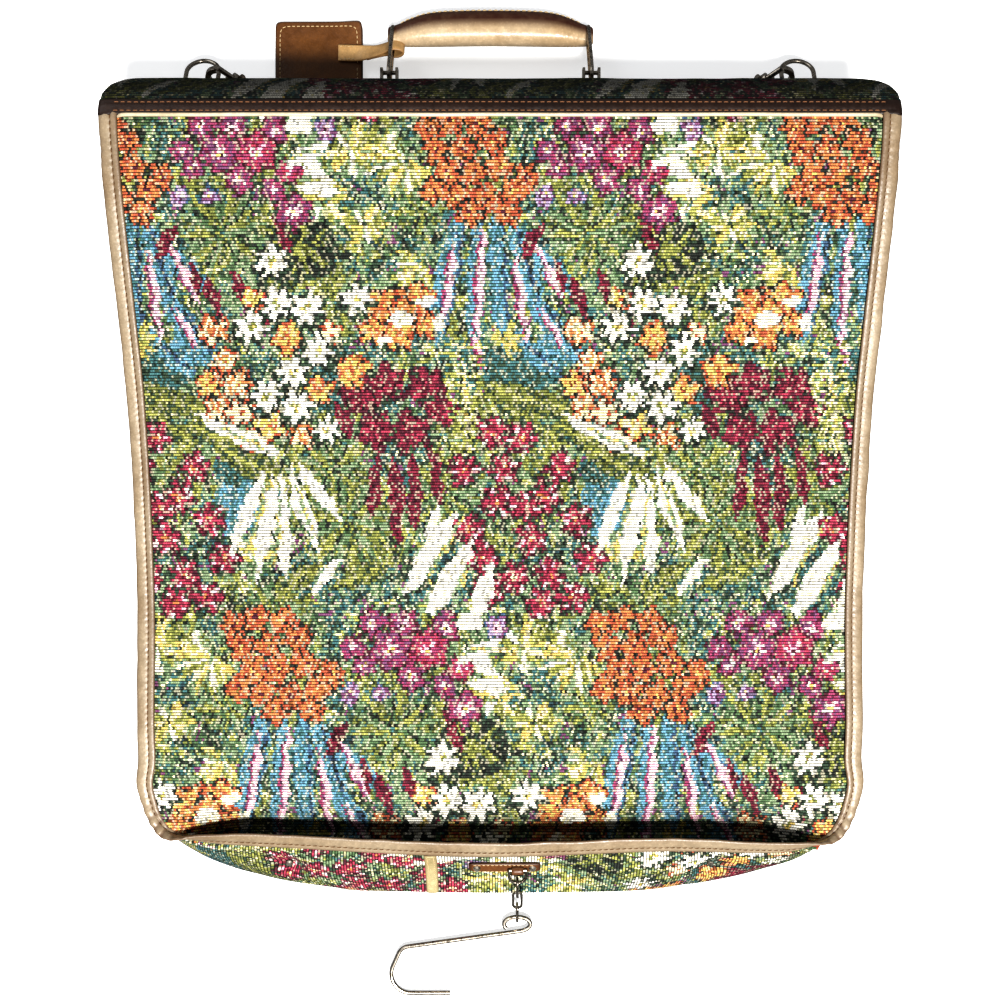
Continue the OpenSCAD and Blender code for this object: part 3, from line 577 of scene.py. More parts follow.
def stitches(p, n, pitch, length, r, skip=0.0):
    """Thread capsules along a line p with outward directions n."""
    s = run(p)
    pos = np.arange(skip + pitch / 2, s[-1] - skip - pitch / 2, pitch)
    c, nn = at(pos, s, p), unit(at(pos, s, n))
    t = unit(at(pos + 0.4, s, p) - at(pos - 0.4, s, p))
    b = np.cross(nn, t)
    us = np.array([-0.5, -0.34, 0.0, 0.34, 0.5]) * length
    rad = np.array([0.55, 0.95, 1.0, 0.95, 0.55]) * r
    lift = np.array([-0.75, 0.15, 0.4, 0.15, -0.75]) * r
    ang = np.arange(6) * math.pi / 3
    v = (c[:, None, None, :] + us[None, :, None, None] * t[:, None, None, :]
         + (lift[None, :, None, None] + rad[None, :, None, None] * np.sin(ang)[None, None, :, None]) * nn[:, None, None, :]
         + rad[None, :, None, None] * np.cos(ang)[None, None, :, None] * b[:, None, None, :])
    q = grid(5, 6, True)
    one = 30
    quads = (q[None] + (np.arange(len(pos)) * one)[:, None, None]).reshape(-1, 4)
    caps = np.array([[0, 3, 2, 1], [0, 5, 4, 3], [24, 25, 26, 27], [24, 27, 28, 29]])
    quads = np.r_[quads, (caps[None] + (np.arange(len(pos)) * one)[:, None, None]).reshape(-1, 4)]
    return v.reshape(-1, 3), quads


def sew(name, rows, mat, body="bag"):
    vs, qs, k = [], [], 0
    for v, q in rows:
        vs.append(v)
        qs.append(q + k)
        k += len(v)
    return make(name, np.vstack(vs), np.vstack(qs), mat, body, tidy=False)


def tapestry(name, surf, n_rib, n_st, paint, amp=0.45, keep=None, out=1.0, stands=(), slot="tapestry", shade=1.0):
    """A ribbed woven sheet. surf(a, b) gives points for a in ribs and b in stitches; paint(points, a, b) gives its place in the pattern."""
    ra = np.arange(2 * n_rib + 1)
    odd = ra % 2 == 1
    A, B = np.meshgrid(ra / 2.0, np.arange(n_st + 1, dtype=float), indexing="ij")
    B = B + np.where(odd, np.where((ra // 2) % 2 == 0, 0.22, -0.22), 0.0)[:, None]
    B[:, 0], B[:, -1] = 0, n_st
    P = surf(A, B)
    N = unit(np.cross(np.gradient(P, axis=1), np.gradient(P, axis=0))) * out
    P = P + N * np.where(odd, amp / 2, -amp / 2)[:, None, None]
    ci, cj = np.meshgrid(np.arange(n_rib), np.arange(2 * n_st), indexing="ij")
    C = surf(ci + 0.5, cj / 2 + 0.25 + np.where(ci % 2 == 0, 0.22, -0.22))
    u, v = paint(C, ci, cj / 2)
    loom = Loom(u, v, ci, cj)
    rgb = YARN_RGB[loom.weave()] * (0.80 + 0.40 * loom.h2)[..., None]
    h3 = hsh(ci, cj, 17)[..., None]
    rgb = np.where(h3 < 0.17, rgb + (WEFT_RGB - rgb) * 0.40, rgb)
    # shade: painted shade, a darkening of the yarn colours by place
    rgb = np.where(h3 > 0.90, rgb * 0.40, rgb) * (shade(C)[..., None] if callable(shade) else shade)
    fr, fc = np.meshgrid(np.arange(2 * n_rib), np.arange(n_st), indexing="ij")
    q = grid(2 * n_rib + 1, n_st + 1)
    colour = np.concatenate([rgb[fr // 2, 2 * fc], rgb[fr // 2, 2 * fc + 1]], -1).reshape(-1, 6)
    uv = np.stack([np.stack([fc, fr / 2], -1), np.stack([fc + 1, fr / 2], -1), np.stack([fc + 1, fr / 2 + 0.5], -1), np.stack([fc, fr / 2 + 0.5], -1)], 2).reshape(-1, 4, 2).astype(float)
    # keep each corner just inside its own rib
    uv[..., 1] = np.where(uv[..., 1] == np.floor(uv[..., 1]), uv[..., 1] + np.where(np.arange(4)[None, :] < 2, 1e-4, -1e-4), uv[..., 1])
    if keep is not None:
        ok = keep(C)[fr // 2, 2 * fc].ravel()
        q, colour, uv = q[ok], colour[ok], uv[ok]
    if out > 0:
        q, uv = q[:, ::-1], uv[:, ::-1]
    col = np.ones((2, len(q), 4, 4))
    col[0, ..., :3] = np.clip(colour[:, :3], 0, 1)[:, None, :]
    col[1, ..., :3] = np.clip(colour[:, 3:], 0, 1)[:, None, :]
    o = make(name, P.reshape(-1, 3), q, M_TAP, uv=uv, col=col, stands=stands, slot=slot, tidy=False)
    return o


def inside(poly, x, y):
    r = np.zeros(x.shape, bool)
    x1, y1 = poly[-1]
    for x2, y2 in poly:
        hit = ((y1 > y) != (y2 > y)) & (x < (x2 - x1) * (y - y1) / (y2 - y1 + 1e-12) + x1)
        r ^= hit
        x1, y1 = x2, y2
    return r


# ---------------------------------------------------------------- shape of the bag, as in the part's source
TOP = curve([(258, 112), (215, 104.2), (172, 91.85), (120, 77.9), (70, 65.9), (0, 54.2), (-80, 47), (-160, 47), (-205, 45), (-226, 43.2), (-245, 42), (-260, 41)], 6)
SIDE = np.array([(262, 270), (250, 270.5), (172, 268.5), (70, 264.5), (0, 263.5), (-87, 262.5), (-166, 263), (-200, 262), (-260, 261)])


def top_z(y):
    return np.interp(-np.asarray(y, float), -TOP[:, 0], TOP[:, 1])


def half(y):
    return np.interp(-np.asarray(y, float), -SIDE[:, 0], SIDE[:, 1])


def photo_place(C, *_):
    k = 1250.0 / (950.0 - C[..., 2])
    return 500 + C[..., 0] * k, 500 - C[..., 1] * k


def dip_z(y):
    """How far the front panel sinks beside its lower edge."""
    return np.interp(-np.asarray(y, float), [205, 214, 222, 230, 238, 246, 254, 262], [0, 1.0, 5.0, 13.0, 19.0, 20.5, 16.0, 8.0])


# line where the edge binding is sewn on (x, y, z) and the way its width goes (dx, dy, dz)
ys = [257, 240, 215, 190, 160, 120, 80, 40, 0, -40, -80, -120, -160, -188]
left = [(-257.0, 270, 103.5, -11.0, 0, -3.0), (-257.8, 264, 109.6, -12.3, 0, -2.8)] + [(-(half(y) - 12.4), y, top_z(y) + 0.8, -12.3, 0, -2.6) for y in ys]
corner_l = [(-252.2, -205, 45.6, -11.6, -0.8, -2.2), (-250.2, -218, 43.6, -10.6, -3.2, -1.0), (-246.2, -229, 42.6, -8.4, -8.2, 1.4),
            (-240.2, -237.2, 41.8, -5.6, -7.8, 7.0), (-232, -243, 41.3, -1.5, -1.2, 12.0), (-222, -246.8, 41, 0.3, 5.2, 10.6)]
bottom = [(-207, -249.2, 41, 0, 8.2, 9.2), (-185, -250.8, 41, 0, 9.9, 8.0), (-148, -252.8, 41, 0, 10.8, 7.2), (-110, -255, 41, 0, 11.0, 7.0),
          (-73, -257, 41, 0, 11.2, 7.0), (-36, -258.6, 41, 0, 11.2, 7.0), (0, -259, 41, 0, 11.2, 7.0), (44, -257.8, 41, 0, 11.2, 7.0),
          (102, -255.4, 41, 0, 11.2, 7.0), (138, -255, 41, 0, 10.6, 7.4), (180, -256, 41, 0, 9.4, 8.2), (205, -255.6, 41, 0, 8.4, 9.0)]
corner_r = [(222, -252.4, 41.1, -0.4, 5.4, 10.4), (233, -246.6, 41.4, 1.4, -0.8, 12.0), (240.8, -239.6, 41.8, 5.4, -7.2, 7.4),
            (246.4, -230.4, 42.6, 8.4, -8.0, 1.6), (250.2, -218.6, 43.6, 10.6, -3.2, -1.0), (252.2, -205, 45.6, 11.6, -0.8, -2.2)]
right = [(-x, y, z, -dx, dy, dz) for x, y, z, dx, dy, dz in left[::-1]]
SEAM = resample(curve(left + corner_l + bottom + corner_r + right, 16), step=1.15)
S_RUN = run(SEAM)
S_AT, S_OFF = SEAM[:, :3], SEAM[:, 3:]
PANEL = [(float(p[0] + 0.45 * o[0]), float(p[1] + (0.45 * o[1] if o[1] < 0.5 else -4.0))) for p, o in zip(S_AT, S_OFF)] + [(258.0, 259.0), (-258.0, 259.0)]

# ---------------------------------------------------------------- front panel
F_LINE = resample(np.c_[np.zeros(len(TOP)), TOP], step=0.5)[:, 1:]
F_RUN = run(np.c_[np.zeros(len(F_LINE)), F_LINE])
PITCH = 2.06
N_RIB, N_ST = int(F_RUN[-1] / PITCH), 158


def front_surf(a, b):
    s = np.asarray(a, float) * PITCH + 0.4
    y = np.interp(s, F_RUN, F_LINE[:, 0])
    z = np.interp(s, F_RUN, F_LINE[:, 1])
    x = (b / N_ST * 2 - 1) * (half(y) - 6.5)
    ax = np.abs(x)
    z = z - dip_z(y) * np.interp(ax, [0, 188, 214, 230], [1.0, 1.0, 0.45, 0.03])
    room = half(y) - 12.4 - ax
    z = z - 1.5 * np.exp(-np.maximum(room, 0) / 5.0) + 1.6 * np.clip(room / 90.0, 0, 1) ** 0.5
    z = z + 2.4 * (vnoise(x / 95, y / 80, 51) - 0.5) + 1.1 * (vnoise(x / 34, y / 42, 52) - 0.5) + 0.35 * (vnoise(x / 9, y / 13, 53) - 0.5)
    z = z - 2.2 * np.exp(-((257.5 - y) / 4.0) ** 2)
    return np.stack([x, y + 0 * x, z], -1)


# painted shade: the shade term darkens the cloth to 0.4 in the crease along the lower edge, away from the corners,
# standing in for the shadow there
front = tapestry("front_cloth", front_surf, N_RIB, N_ST, photo_place, keep=lambda C: inside(PANEL, C[..., 0], C[..., 1]),
                 stands=("front_panel", "front_end_gusset"),
                 shade=lambda C: 1 - 0.6 * np.interp(-C[..., 1], [226, 239], [0, 1]) * np.interp(np.abs(C[..., 0]), [215, 238], [1, 0]))

# ---------------------------------------------------------------- edge binding round the front panel
W = np.linalg.norm(S_OFF, axis=1)
S_T = unit(np.gradient(S_AT, axis=0))
S_D = unit(S_OFF)
S_N = unit(np.cross(S_D, S_T))
first_up = S_N[10, 2]
if first_up < 0:
    S_N = -S_N
prof = np.array([(-0.10, 0.2), (0.0, 0.8), (0.09, 1.2), (0.18, 1.2), (0.25, 0.95), (0.30, 0.62), (0.35, 0.95), (0.44, 1.4), (0.58, 1.75), (0.73, 1.8),
                 (0.86, 1.5), (0.95, 0.95), (1.0, 0.1), (0.96, -0.8), (0.87, -1.2), (0.6, -1.35), (0.40, -1.2), (0.35, -0.9), (0.30, -0.62), (0.25, -0.9), (0.14, -1.1), (0.0, -0.8)])
corner_c = [S_RUN[np.argmin(np.linalg.norm(S_AT[:, :2] - np.array(c), axis=1))] for c in ((-243, -234), (243, -235), (-257, 236), (257, 236))]
gather = sum(k * np.exp(-((S_RUN - c) / w) ** 2) for c, k, w in zip(corner_c, (1.0, 1.0, 0.28, 0.28), (17.0, 17.0, 12.0, 12.0)))
ruck = 0.75 * gather * np.sin(2 * np.pi * S_RUN / 6.8 + 1.5 * vnoise(S_RUN / 9, 0 * S_RUN, 61))
soft = 0.55 * (vnoise(S_RUN / 11.0, 0 * S_RUN, 62) - 0.5) + 0.5 * (vnoise(S_RUN / 31.0, 0 * S_RUN, 63) - 0.5)
tuck = 0.22 * np.cos(2 * np.pi * S_RUN / 4.4)
wave = 1.0 + 0.05 * (vnoise(S_RUN / 17.0, 0 * S_RUN, 64) - 0.5) - 0.16 * gather - 0.05 * gather * np.abs(np.sin(np.pi * S_RUN / 6.8))
sec = []
for w, h in prof:
    lift = h + (ruck * max(w, 0) ** 0.8 + soft * max(w, 0)) + (tuck * math.exp(-((w - 0.30) / 0.12) ** 2) * (1 if h > 0 else -1))
    sec.append(S_AT + S_D * (w * W * wave)[:, None] + S_N * lift[:, None])
sec = np.stack(sec, 1)
edge_row = np.array([0.8, 0.6, 0.36, 0.28, 0.36, 0.55, 0.15, 0, 0, 0.05, 0.2, 0.55, 0.85, 0.55, 0.2, 0, 0, 0.1, 0.35, 0.1, 0.1, 0.5])
# painted shade: the valleys of the gathered pleats at the corners are darkened toward the edge colour; edge_row darkens
# the folded rims and the stitch groove
edge_wear_and_pleat_shade = np.clip(edge_row[None] + 0.9 * gather[:, None] * np.clip(-ruck[:, None] / 0.75, 0, 1), 0, 1)
loft("edge_binding", sec, M_TAN, edge=edge_wear_and_pleat_shade, stands=("front_binding", "ridge_binding"), slot="tan_leather")
row_up = S_AT + S_D * (0.30 * W)[:, None] + S_N * 0.72
row_dn = S_AT + S_D * (0.30 * W)[:, None] - S_N * 0.72
sew("binding_stitches", [stitches(row_up, S_N, 4.4, 3.3, 0.42, 6), stitches(row_dn, -S_N, 4.4, 3.3, 0.42, 6)], M_DTHREAD)

# ---------------------------------------------------------------- the slanted wall at the hook end
T_C = [(0, -259, 41.2), (50, -257.6, 41.2), (102, -255.4, 41.2), (140, -255, 41.2), (180, -256, 41.2), (208, -255.2, 41.2), (224, -251.4, 41.2), (234, -245.6, 41.2), (242, -237.6, 41), (248, -226, 41), (250.5, -212, 40.4), (252, -198, 41)]
T_L = [(0, -259, 41.2), (-50, -258, 41.2), (-102, -255.4, 41.2), (-140, -253.2, 41.2), (-180, -251, 41.2), (-208, -249.2, 41.2), (-224, -246, 41.2), (-234, -241.6, 41.2), (-242, -234.6, 41), (-248, -224, 41), (-250.5, -211, 40.4), (-252, -197, 41)]
F_C = [(0, -297.5), (50, -297), (100, -295.5), (138, -291.5), (176, -285), (205, -276.5), (226, -267.5), (240, -259), (251, -249), (257.5, -237), (260.5, -221), (259.5, -205)]
wall_t = curve(T_L[:0:-1] + T_C, 12)
wall_f = curve([(-x, y, 3.6) for x, y in F_C[:0:-1]] + [(x, y, 3.6) for x, y in F_C], 12)
wall_m = (wall_t + wall_f) / 2
wall_run = run(wall_m)
W_RIB, W_ST = int(wall_run[-1] / PITCH), 18


def wall_at(s, t):
    a, f = at(s, wall_run, wall_t), at(s, wall_run, wall_f)
    p = a + (f - a) * t[..., None]
    out = unit(np.stack([p[..., 0] * 0.0035 * np.abs(p[..., 0] / 100) ** 2, np.full(s.shape, -0.75), np.full(s.shape, 0.66)], -1))
    hump = np.sin(np.pi * np.clip(t, 0, 1))
    ax = np.abs(p[..., 0])
    full = 5.2 * hump ** 0.8 + 3.4 * (vnoise(s / 42, t * 1.3, 71) - 0.5) * hump + 1.2 * (vnoise(s / 16, t * 2.2, 72) - 0.5)
    full = full * np.interp(ax, [0, 44, 92, 215, 250], [0.0, 0.0, 0.75, 1.0, 0.6]) * (1 - 1.6 * np.exp(-((ax - 156) ** 2 + (54 * (t - 0.43)) ** 2) / 12.0 ** 2))
    return p + out * (full - 4.3 * hump ** 0.8 * np.interp(ax, [0, 40, 82], [1.0, 1.0, 0.0]))[..., None]


def wall_surf(a, b):
    a, b = np.broadcast_arrays(a, b)
    return wall_at(a * PITCH, b / W_ST)


wall = tapestry("hook_end_cloth", wall_surf, W_RIB, W_ST,
                lambda C, i, j: (470 + j * 4.4 + 0.0 * i, 245 + i * PITCH * 1.38), stands=("hook_end_gusset",), out=-1.0)

# tape sewn over the wall
s_mid = np.interp(-51.0, wall_m[:, 0], wall_run)
ss, tt = np.meshgrid(np.linspace(s_mid - 4.6, s_mid + 4.6, 9), np.linspace(0.03, 0.99, 40), indexing="ij")
tp = wall_at(ss, tt)
tn = unit(np.cross(np.gradient(tp, axis=0), np.gradient(tp, axis=1)))
tn = tn * np.sign(tn[..., 2:3].mean())
e9 = np.array([0.2, 0.75, 1, 1.05, 1.05, 1.05, 1, 0.75, 0.2])[:, None, None]
top9, low9 = tp + tn * (0.35 + 1.0 * e9), tp + tn * (0.35 - 0.1 * e9)
ring = np.concatenate([top9, low9[::-1]], 0).transpose(1, 0, 2)
loft("tape", ring, M_TAPE, edge=np.r_[0.8, 0.1, 0, 0, 0, 0, 0, 0.1, 0.8, 0.8, 0.3, 0, 0, 0, 0, 0, 0.3, 0.8][None], stands=("gusset_tape",), slot="tan_leather")
sew("tape_stitches", [stitches(tp[k] + tn[k] * 1.38, tn[k], 3.4, 2.5, 0.34, 1.5) for k in (2, 6)], M_THREAD)

# ---------------------------------------------------------------- side gussets
GUS = curve([(258, 112), (215, 104.2), (172, 91.85), (120, 77.9), (70, 65.9), (0, 54.2), (-80, 47), (-160, 47), (-205, 45)], 6)


def fold(deg, d):
    a = np.radians(np.asarray(deg, float))
    return np.stack([258 + (41 - d) * np.cos(a), 46 + np.where(a > 0, 66 - d, 46 - d) * np.sin(a)], -1)


LOW = np.array([(-221, 3.8), (252, 3.8)], float)
o_back = resample(np.c_[LOW, np.zeros(2)], 120)[:, :2]
o_fold = resample(np.c_[fold(np.linspace(-84, 84, 60), 0.9), np.zeros(60)], 70)[:, :2]
o_front = resample(np.c_[GUS - np.array([0, 2.6]), np.zeros(len(GUS))], 120)[:, :2]
OUTER = np.vstack([o_back, o_fold, o_front])
i_back = curve([(-221, 21.6), (-205, 22.6), (-160, 24.4), (-80, 24.6), (0, 28.0), (70, 33.4), (120, 37.8), (172, 41.4), (205, 43.8)], 8)
i_fold = curve([(205, 43.8), (219, 46.6), (222, 48.5), (219, 50.4), (205, 52.2)], 8)
i_front = curve([(205, 52.2), (172, 48.0), (120, 39.4), (70, 33.4), (0, 28.2), (-80, 24.8), (-160, 24.6), (-205, 22.8)], 8)
INNER = np.vstack([resample(np.c_[c, np.zeros(len(c))], n)[:, :2] for c, n in ((i_back, 120), (i_fold, 70), (i_front, 120))])
G_MID = np.c_[np.zeros(len(OUTER)), 0.72 * OUTER + 0.28 * INNER]
G_RUN = run(G_MID)
G_RIB, G_ST = int(G_RUN[-1] / 2.3), 12


def spine_w(y):
    return np.interp(y, [262, 274, 283, 290, 296, 300], [269, 268.5, 265, 259, 250, 243])


def gusset_surf(side):
    def surf(a, b):
        a, b = np.broadcast_arrays(np.asarray(a, float), np.asarray(b, float))
        s = a * 2.3
        t = b / G_ST
        o, i = at(s, G_RUN, OUTER), at(s, G_RUN, INNER)
        p = o + (i - o) * t[..., None]
        lower = np.interp(s, [0, G_RUN[119], G_RUN[135]], [1.0, 1.0, 0.0])
        puff = np.sin(np.pi * np.clip(t, 0, 1)) * ((0.5 if side < 0 else 2.6) * lower + 4.2 * (1 - lower))
        puff = puff + (1 - 0.75 * lower) * np.sin(np.pi * np.clip(t, 0, 1)) * (3.2 * (vnoise(s / 33, t * 1.6, 81 + (side > 0)) - 0.5) + 1.4 * (vnoise(s / 12, t * 2.0, 83) - 0.5))
        g0, g1 = G_RUN[119], G_RUN[190]
        rim = np.where(s < g0, 256.5, np.where(s > g1, 261.5, spine_w(p[..., 0]) - 0.3))
        near = np.clip((s - g0) / 5.0, 0, 1) * np.clip((g1 - s) / 5.0, 0, 1)
        rim = np.where((s >= g0) & (s <= g1), np.where(s < (g0 + g1) / 2, 256.5, 261.5) * (1 - near) + rim * near, rim)
        x = 255.6 + puff - 3.2 * np.clip((t - 0.82) / 0.18, 0, 1) ** 2 + (rim - 255.6) * np.clip(1 - t / 0.34, 0, 1) ** 1.6
        return np.stack([side * x, p[..., 0], p[..., 1]], -1)
    return surf


for side, nm in ((-1, "left"), (1, "right")):
    g = tapestry("gusset_cloth_" + nm, gusset_surf(side), G_RIB, G_ST,
                 lambda C, i, j, k=side: (420 + 130 * (k > 0) + C[..., 2] * 1.42, 365 + C[..., 1] * 1.38), amp=0.5,
                 stands=("gusset_" + nm,), out=1.0 if side < 0 else -1.0)

# ---------------------------------------------------------------- lining faces in the crease
CREASE = curve([(-237, 15.5), (-230, 17), (-205, 19.5), (-160, 22), (-80, 22.5), (0, 26), (70, 31.5), (120, 36), (172, 39.5), (205, 42), (221, 45), (225, 48.5), (221, 52), (205, 54), (172, 49.5), (120, 40.5), (70, 34), (0, 28), (-80, 24), (-160, 23.5), (-205, 21.5), (-234, 19.5)], 6)
cw = np.interp(-CREASE[:, 0], [205, 216, 236, 260], [251, 234, 189, 189])
fx = np.linspace(-1, 1, 61)
lv = np.stack([cw[:, None] * fx[None], np.repeat(CREASE[:, :1], 61, 1), CREASE[:, 1:2] + 0.5 * (vnoise(cw[:, None] * fx[None] / 25, CREASE[:, :1] / 25, 91) - 0.5)], -1)
lining = make("lining_faces", lv.reshape(-1, 3), grid(len(CREASE), 61), M_LINING, stands=("inner_panel",), slot="lining", tidy=False)

# ---------------------------------------------------------------- the fold: spine cloth, bands, piping
SP = fold(np.linspace(75.5, -74, 170), 0.0)
SP_RUN = run(np.c_[np.zeros(len(SP)), SP])
SP_RIB, SP_ST = int(SP_RUN[-1] / PITCH), 162


def spine_surf(a, b):
    a, b = np.broadcast_arrays(np.asarray(a, float), np.asarray(b, float))
    p = at(a * PITCH, SP_RUN, SP)
    x = (b / SP_ST * 2 - 1) * spine_w(p[..., 0])
    n = unit(np.stack([0 * x, (p[..., 0] - 258) / 41 ** 2, (p[..., 1] - 46) / np.where(p[..., 1] > 46, 66, 46) ** 2], -1))
    sag = 1.1 * (vnoise(x / 60, a / 14, 101) - 0.5) + 0.5 * (vnoise(x / 17, a / 6, 102) - 0.5)
    return np.stack([x, p[..., 0], p[..., 1]], -1) + n * sag[..., None]


# painted shade: the spine cloth is darkened, to 0.17 at its top and 0.5 low down, standing in for the shade it lies in
spine = tapestry("spine_cloth", spine_surf, SP_RIB, SP_ST, lambda C, i, j: (500 + C[..., 0] * 1.49, 104 - (i + 1) * PITCH * 1.42), stands=("spine_panel",),
                 shade=lambda C: np.interp(C[..., 2], [20, 60, 85, 110], [0.50, 0.42, 0.22, 0.17]))


def band(name, a0, a1, stands, rows, more):
    xs = np.linspace(-1, 1, 240)
    th = np.linspace(a0, a1, 13)
    secs, outs = [], []
    puff = np.array([0.0, 0.5, 0.85, 0.55, 0.9, 1.1, 1.2, 1.1, 0.9, 0.55, 0.85, 0.5, 0.0])
    for f in xs:
        end = math.sqrt(max(0.0, 1 - max(0.0, (abs(f) - 0.955) / 0.045) ** 2))
        rip = 0.35 * (float(vnoise(np.array(f * 21.0), np.array(0.3), 111)) - 0.5)
        o = fold(th, 0)
        n = np.stack([(o[:, 0] - 258) / 41 ** 2, (o[:, 1] - 46) / np.where(o[:, 1] > 46, 66, 46) ** 2], -1)
        n = n / np.linalg.norm(n, axis=1)[:, None]
        hgt = (0.5 + puff * 0.9 + rip) * end
        up = o + n * hgt[:, None]
        dn = o - n * 1.2
        w = spine_w(o[:, 0]) + more
        w2 = np.r_[w, w[::-1]]
        yz = np.vstack([up, dn[::-1]])
        yz[:, 1] = np.maximum(yz[:, 1], 0.1)
        secs.append(np.c_[f * w2, yz])
        outs.append(n)
    secs = np.array(secs)
    edge = np.zeros(26)
    edge[[0, 12, 13, 25]] = 0.8
    edge[[3, 9]] = 0.35
    loft(name, secs, M_BAND_SHADED, edge=edge[None], stands=stands, slot="tan_leather")
    n3 = np.c_[np.zeros(13), outs[0]]
    lines = []
    for k in rows:
        p = secs[:, k, :] + n3[k] * 0.12
        lines.append(stitches(p, np.repeat(n3[k][None], len(p), 0), 4.4, 3.2, 0.4, 10))
    sew(name + "_stitches", lines, M_BTHREAD_SHADED)


band("band_front", 90, 73.6, ("spine_band_front",), (3, 9), 0.8)
band("band_back", -72.4, -88, ("spine_band_back",), (3,), -3.5)


def piping(name, y, z, r, hw, stands, tuck_in):
    x = np.linspace(-hw, hw, 300)
    c = np.c_[x, y + 0.35 * (vnoise(x / 40, 0 * x, 121) - 0.5), z + 0.3 * (vnoise(x / 30, 0 * x, 122) - 0.5) + tuck_in * np.clip((np.abs(x) - hw + 9) / 9, 0, 1) ** 2]
    an = np.linspace(0, 2 * np.pi, 14, endpoint=False)
    rr = r * (1 + 0.03 * (vnoise(x / 6, 0 * x, 123) - 0.5))
    secs = c[:, None, :] + np.stack([0 * an, np.cos(an), np.sin(an)], -1)[None] * rr[:, None, None]
    # painted shade: the underside of the piping is darkened toward the edge colour
    loft(name, secs, M_CREAM, edge=(np.sin(an) < -0.6).astype(float)[None] * 0.6, stands=stands, slot="cream_piping")


piping("piping_top", 258.0, 113.6, 1.35, 259.0, ("piping_front",), -5.0)
piping("piping_low", 253.8, 2.4, 2.2, 258.0, ("piping_back",), 1.5)

# ---------------------------------------------------------------- back panel and its binding
BACK = [(264, 247), (264, -200), (260, -226), (251, -244), (236, -260), (215, -273), (190, -281), (165, -288), (130, -294), (98, -297.5), (0, -298.5)]
bl = resample(np.r_[np.c_[curve(BACK[1:], 10), np.zeros(91)]], step=1.6)[:, :2]
bl = np.vstack([np.c_[np.full(180, 264.0), np.linspace(247, -199, 180)], bl])
bl = np.vstack([bl[:-1], np.c_[-bl[::-1, 0], bl[::-1, 1]]])
b3 = resample(np.c_[bl, np.full(len(bl), 2.15)], step=2.0)
bt, bb, bn = frames(b3, (0, 0, 1))
b_run = run(b3)
bo = -bb if np.mean(np.sum(bb[:40] * np.array([1.0, 0, 0]), 1)) < 0 else bb
sec = []
for w, h in ((0.0, -0.5), (-0.4, 1.1), (-1.5, 1.9), (-4, 2.1), (-6.8, 1.9), (-8.6, 1.2), (-9.2, 0), (-8.6, -1.5), (-6.5, -2.0), (-3, -2.1), (-0.9, -1.7)):
    pk = 0.22 * np.sin(2 * np.pi * b_run / 5.1) * (abs(w) < 5) + 0.5 * (vnoise(b_run / 14, 0 * b_run, 131) - 0.5) * (w > -3)
    sec.append(b3 + bo * (w - 0.9 + pk)[:, None] + np.array([0, 0, 1.0]) * h)
loft("back_edge_binding", np.stack(sec, 1), M_TAN, edge=np.array([0.35, 0.1, 0, 0, 0, 0.2, 0.6, 0.4, 0, 0, 0.2])[None], stands=("back_binding",), slot="tan_leather")
row = b3 + bo * -6.4 + np.array([0, 0, 1.95])
sew("back_edge_stitches", [stitches(row, np.repeat(np.array([[0, 0, 1.0]]), len(row), 0), 4.4, 3.2, 0.4, 8)], M_THREAD)

back_poly = [(float(p[0]), float(p[1])) for p in (b3 + bo * -7.0)[:, :2]] + [(-256.0, 250.0), (256.0, 250.0)]
B_RIB, B_ST = 136, 130


def back_surf(a, b):
    a, b = np.broadcast_arrays(np.asarray(a, float), np.asarray(b, float))
    y = 250 - a * 4.0
    x = (b / B_ST * 2 - 1) * 258
    return np.stack([x, y, 1.3 + 0.4 * (vnoise(x / 50, y / 50, 141) - 0.5)], -1)


backc = tapestry("back_cloth", back_surf, B_RIB, B_ST, lambda C, i, j: (500 + C[..., 0] * 1.38, 500 + C[..., 1] * 1.38), amp=0.4,
                 keep=lambda C: inside(back_poly, C[..., 0], C[..., 1]), stands=("back_panel",), out=-1.0)

# ---------------------------------------------------------------- padded grip
gx = np.array([0, 16, 31, 42, 50, 57, 63, 68, 72, 75, 76.6, 77.0])
up_y = np.array([367.0, 366.9, 366.4, 365.6, 364.2, 362.0, 359.6, 357.4, 356.0, 355.2, 354.2, 352.6])
low_y = np.array([341.3, 341.2, 341.0, 340.8, 340.7, 340.6, 340.6, 340.7, 340.9, 341.2, 342.2, 344.0])
rz_ = np.array([11.1, 11.1, 11.0, 10.8, 10.4, 9.6, 8.4, 7.2, 6.4, 5.8, 4.8, 3.2])
gk = np.c_[gx, (up_y - low_y) / 2, rz_, (up_y + low_y) / 2, np.full(len(gx), 11.6)]
gk = np.vstack([np.c_[-gk[:0:-1, :1], gk[:0:-1, 1:]], gk])
gp = resample(curve(gk, 6), n=110)
an = np.linspace(0, 2 * np.pi, 40, endpoint=False)
ca, sa = np.cos(an), np.sin(an)
sx = np.sign(ca) * np.abs(ca) ** 0.88
sz = np.sign(sa) * np.abs(sa) ** 0.88
secs = np.stack([np.broadcast_to(gp[:, 0:1] - 7.0, (110, 40)), gp[:, 3:4] + gp[:, 1:2] * (sx - 0.30 * np.clip(sz, 0, 1) ** 1.5 * (1 - np.abs(sx)) ** 0.5)[None], gp[:, 4:5] + gp[:, 2:3] * sz[None]], -1)
# the lapped seam on the far side, and small creases where the padding ends
seam_w = np.exp(-((((an - 0.30 + np.pi) % (2 * np.pi)) - np.pi) / 0.10) ** 2)
crease = (np.exp(-((np.abs(gp[:, 0]) - 60) / 5.0) ** 2) * np.sin(gp[:, 0] * 2.2) * 0.35)
mid = secs.mean(1, keepdims=True)
outw = unit(secs - mid)
secs = secs + outw * ((seam_w * -0.45)[None, :, None] + crease[:, None, None] * 0.8) * np.clip((76.5 - np.abs(gp[:, 0])) / 6, 0, 1)[:, None, None]
secs[..., 2] = np.maximum(secs[..., 2], 0.35)
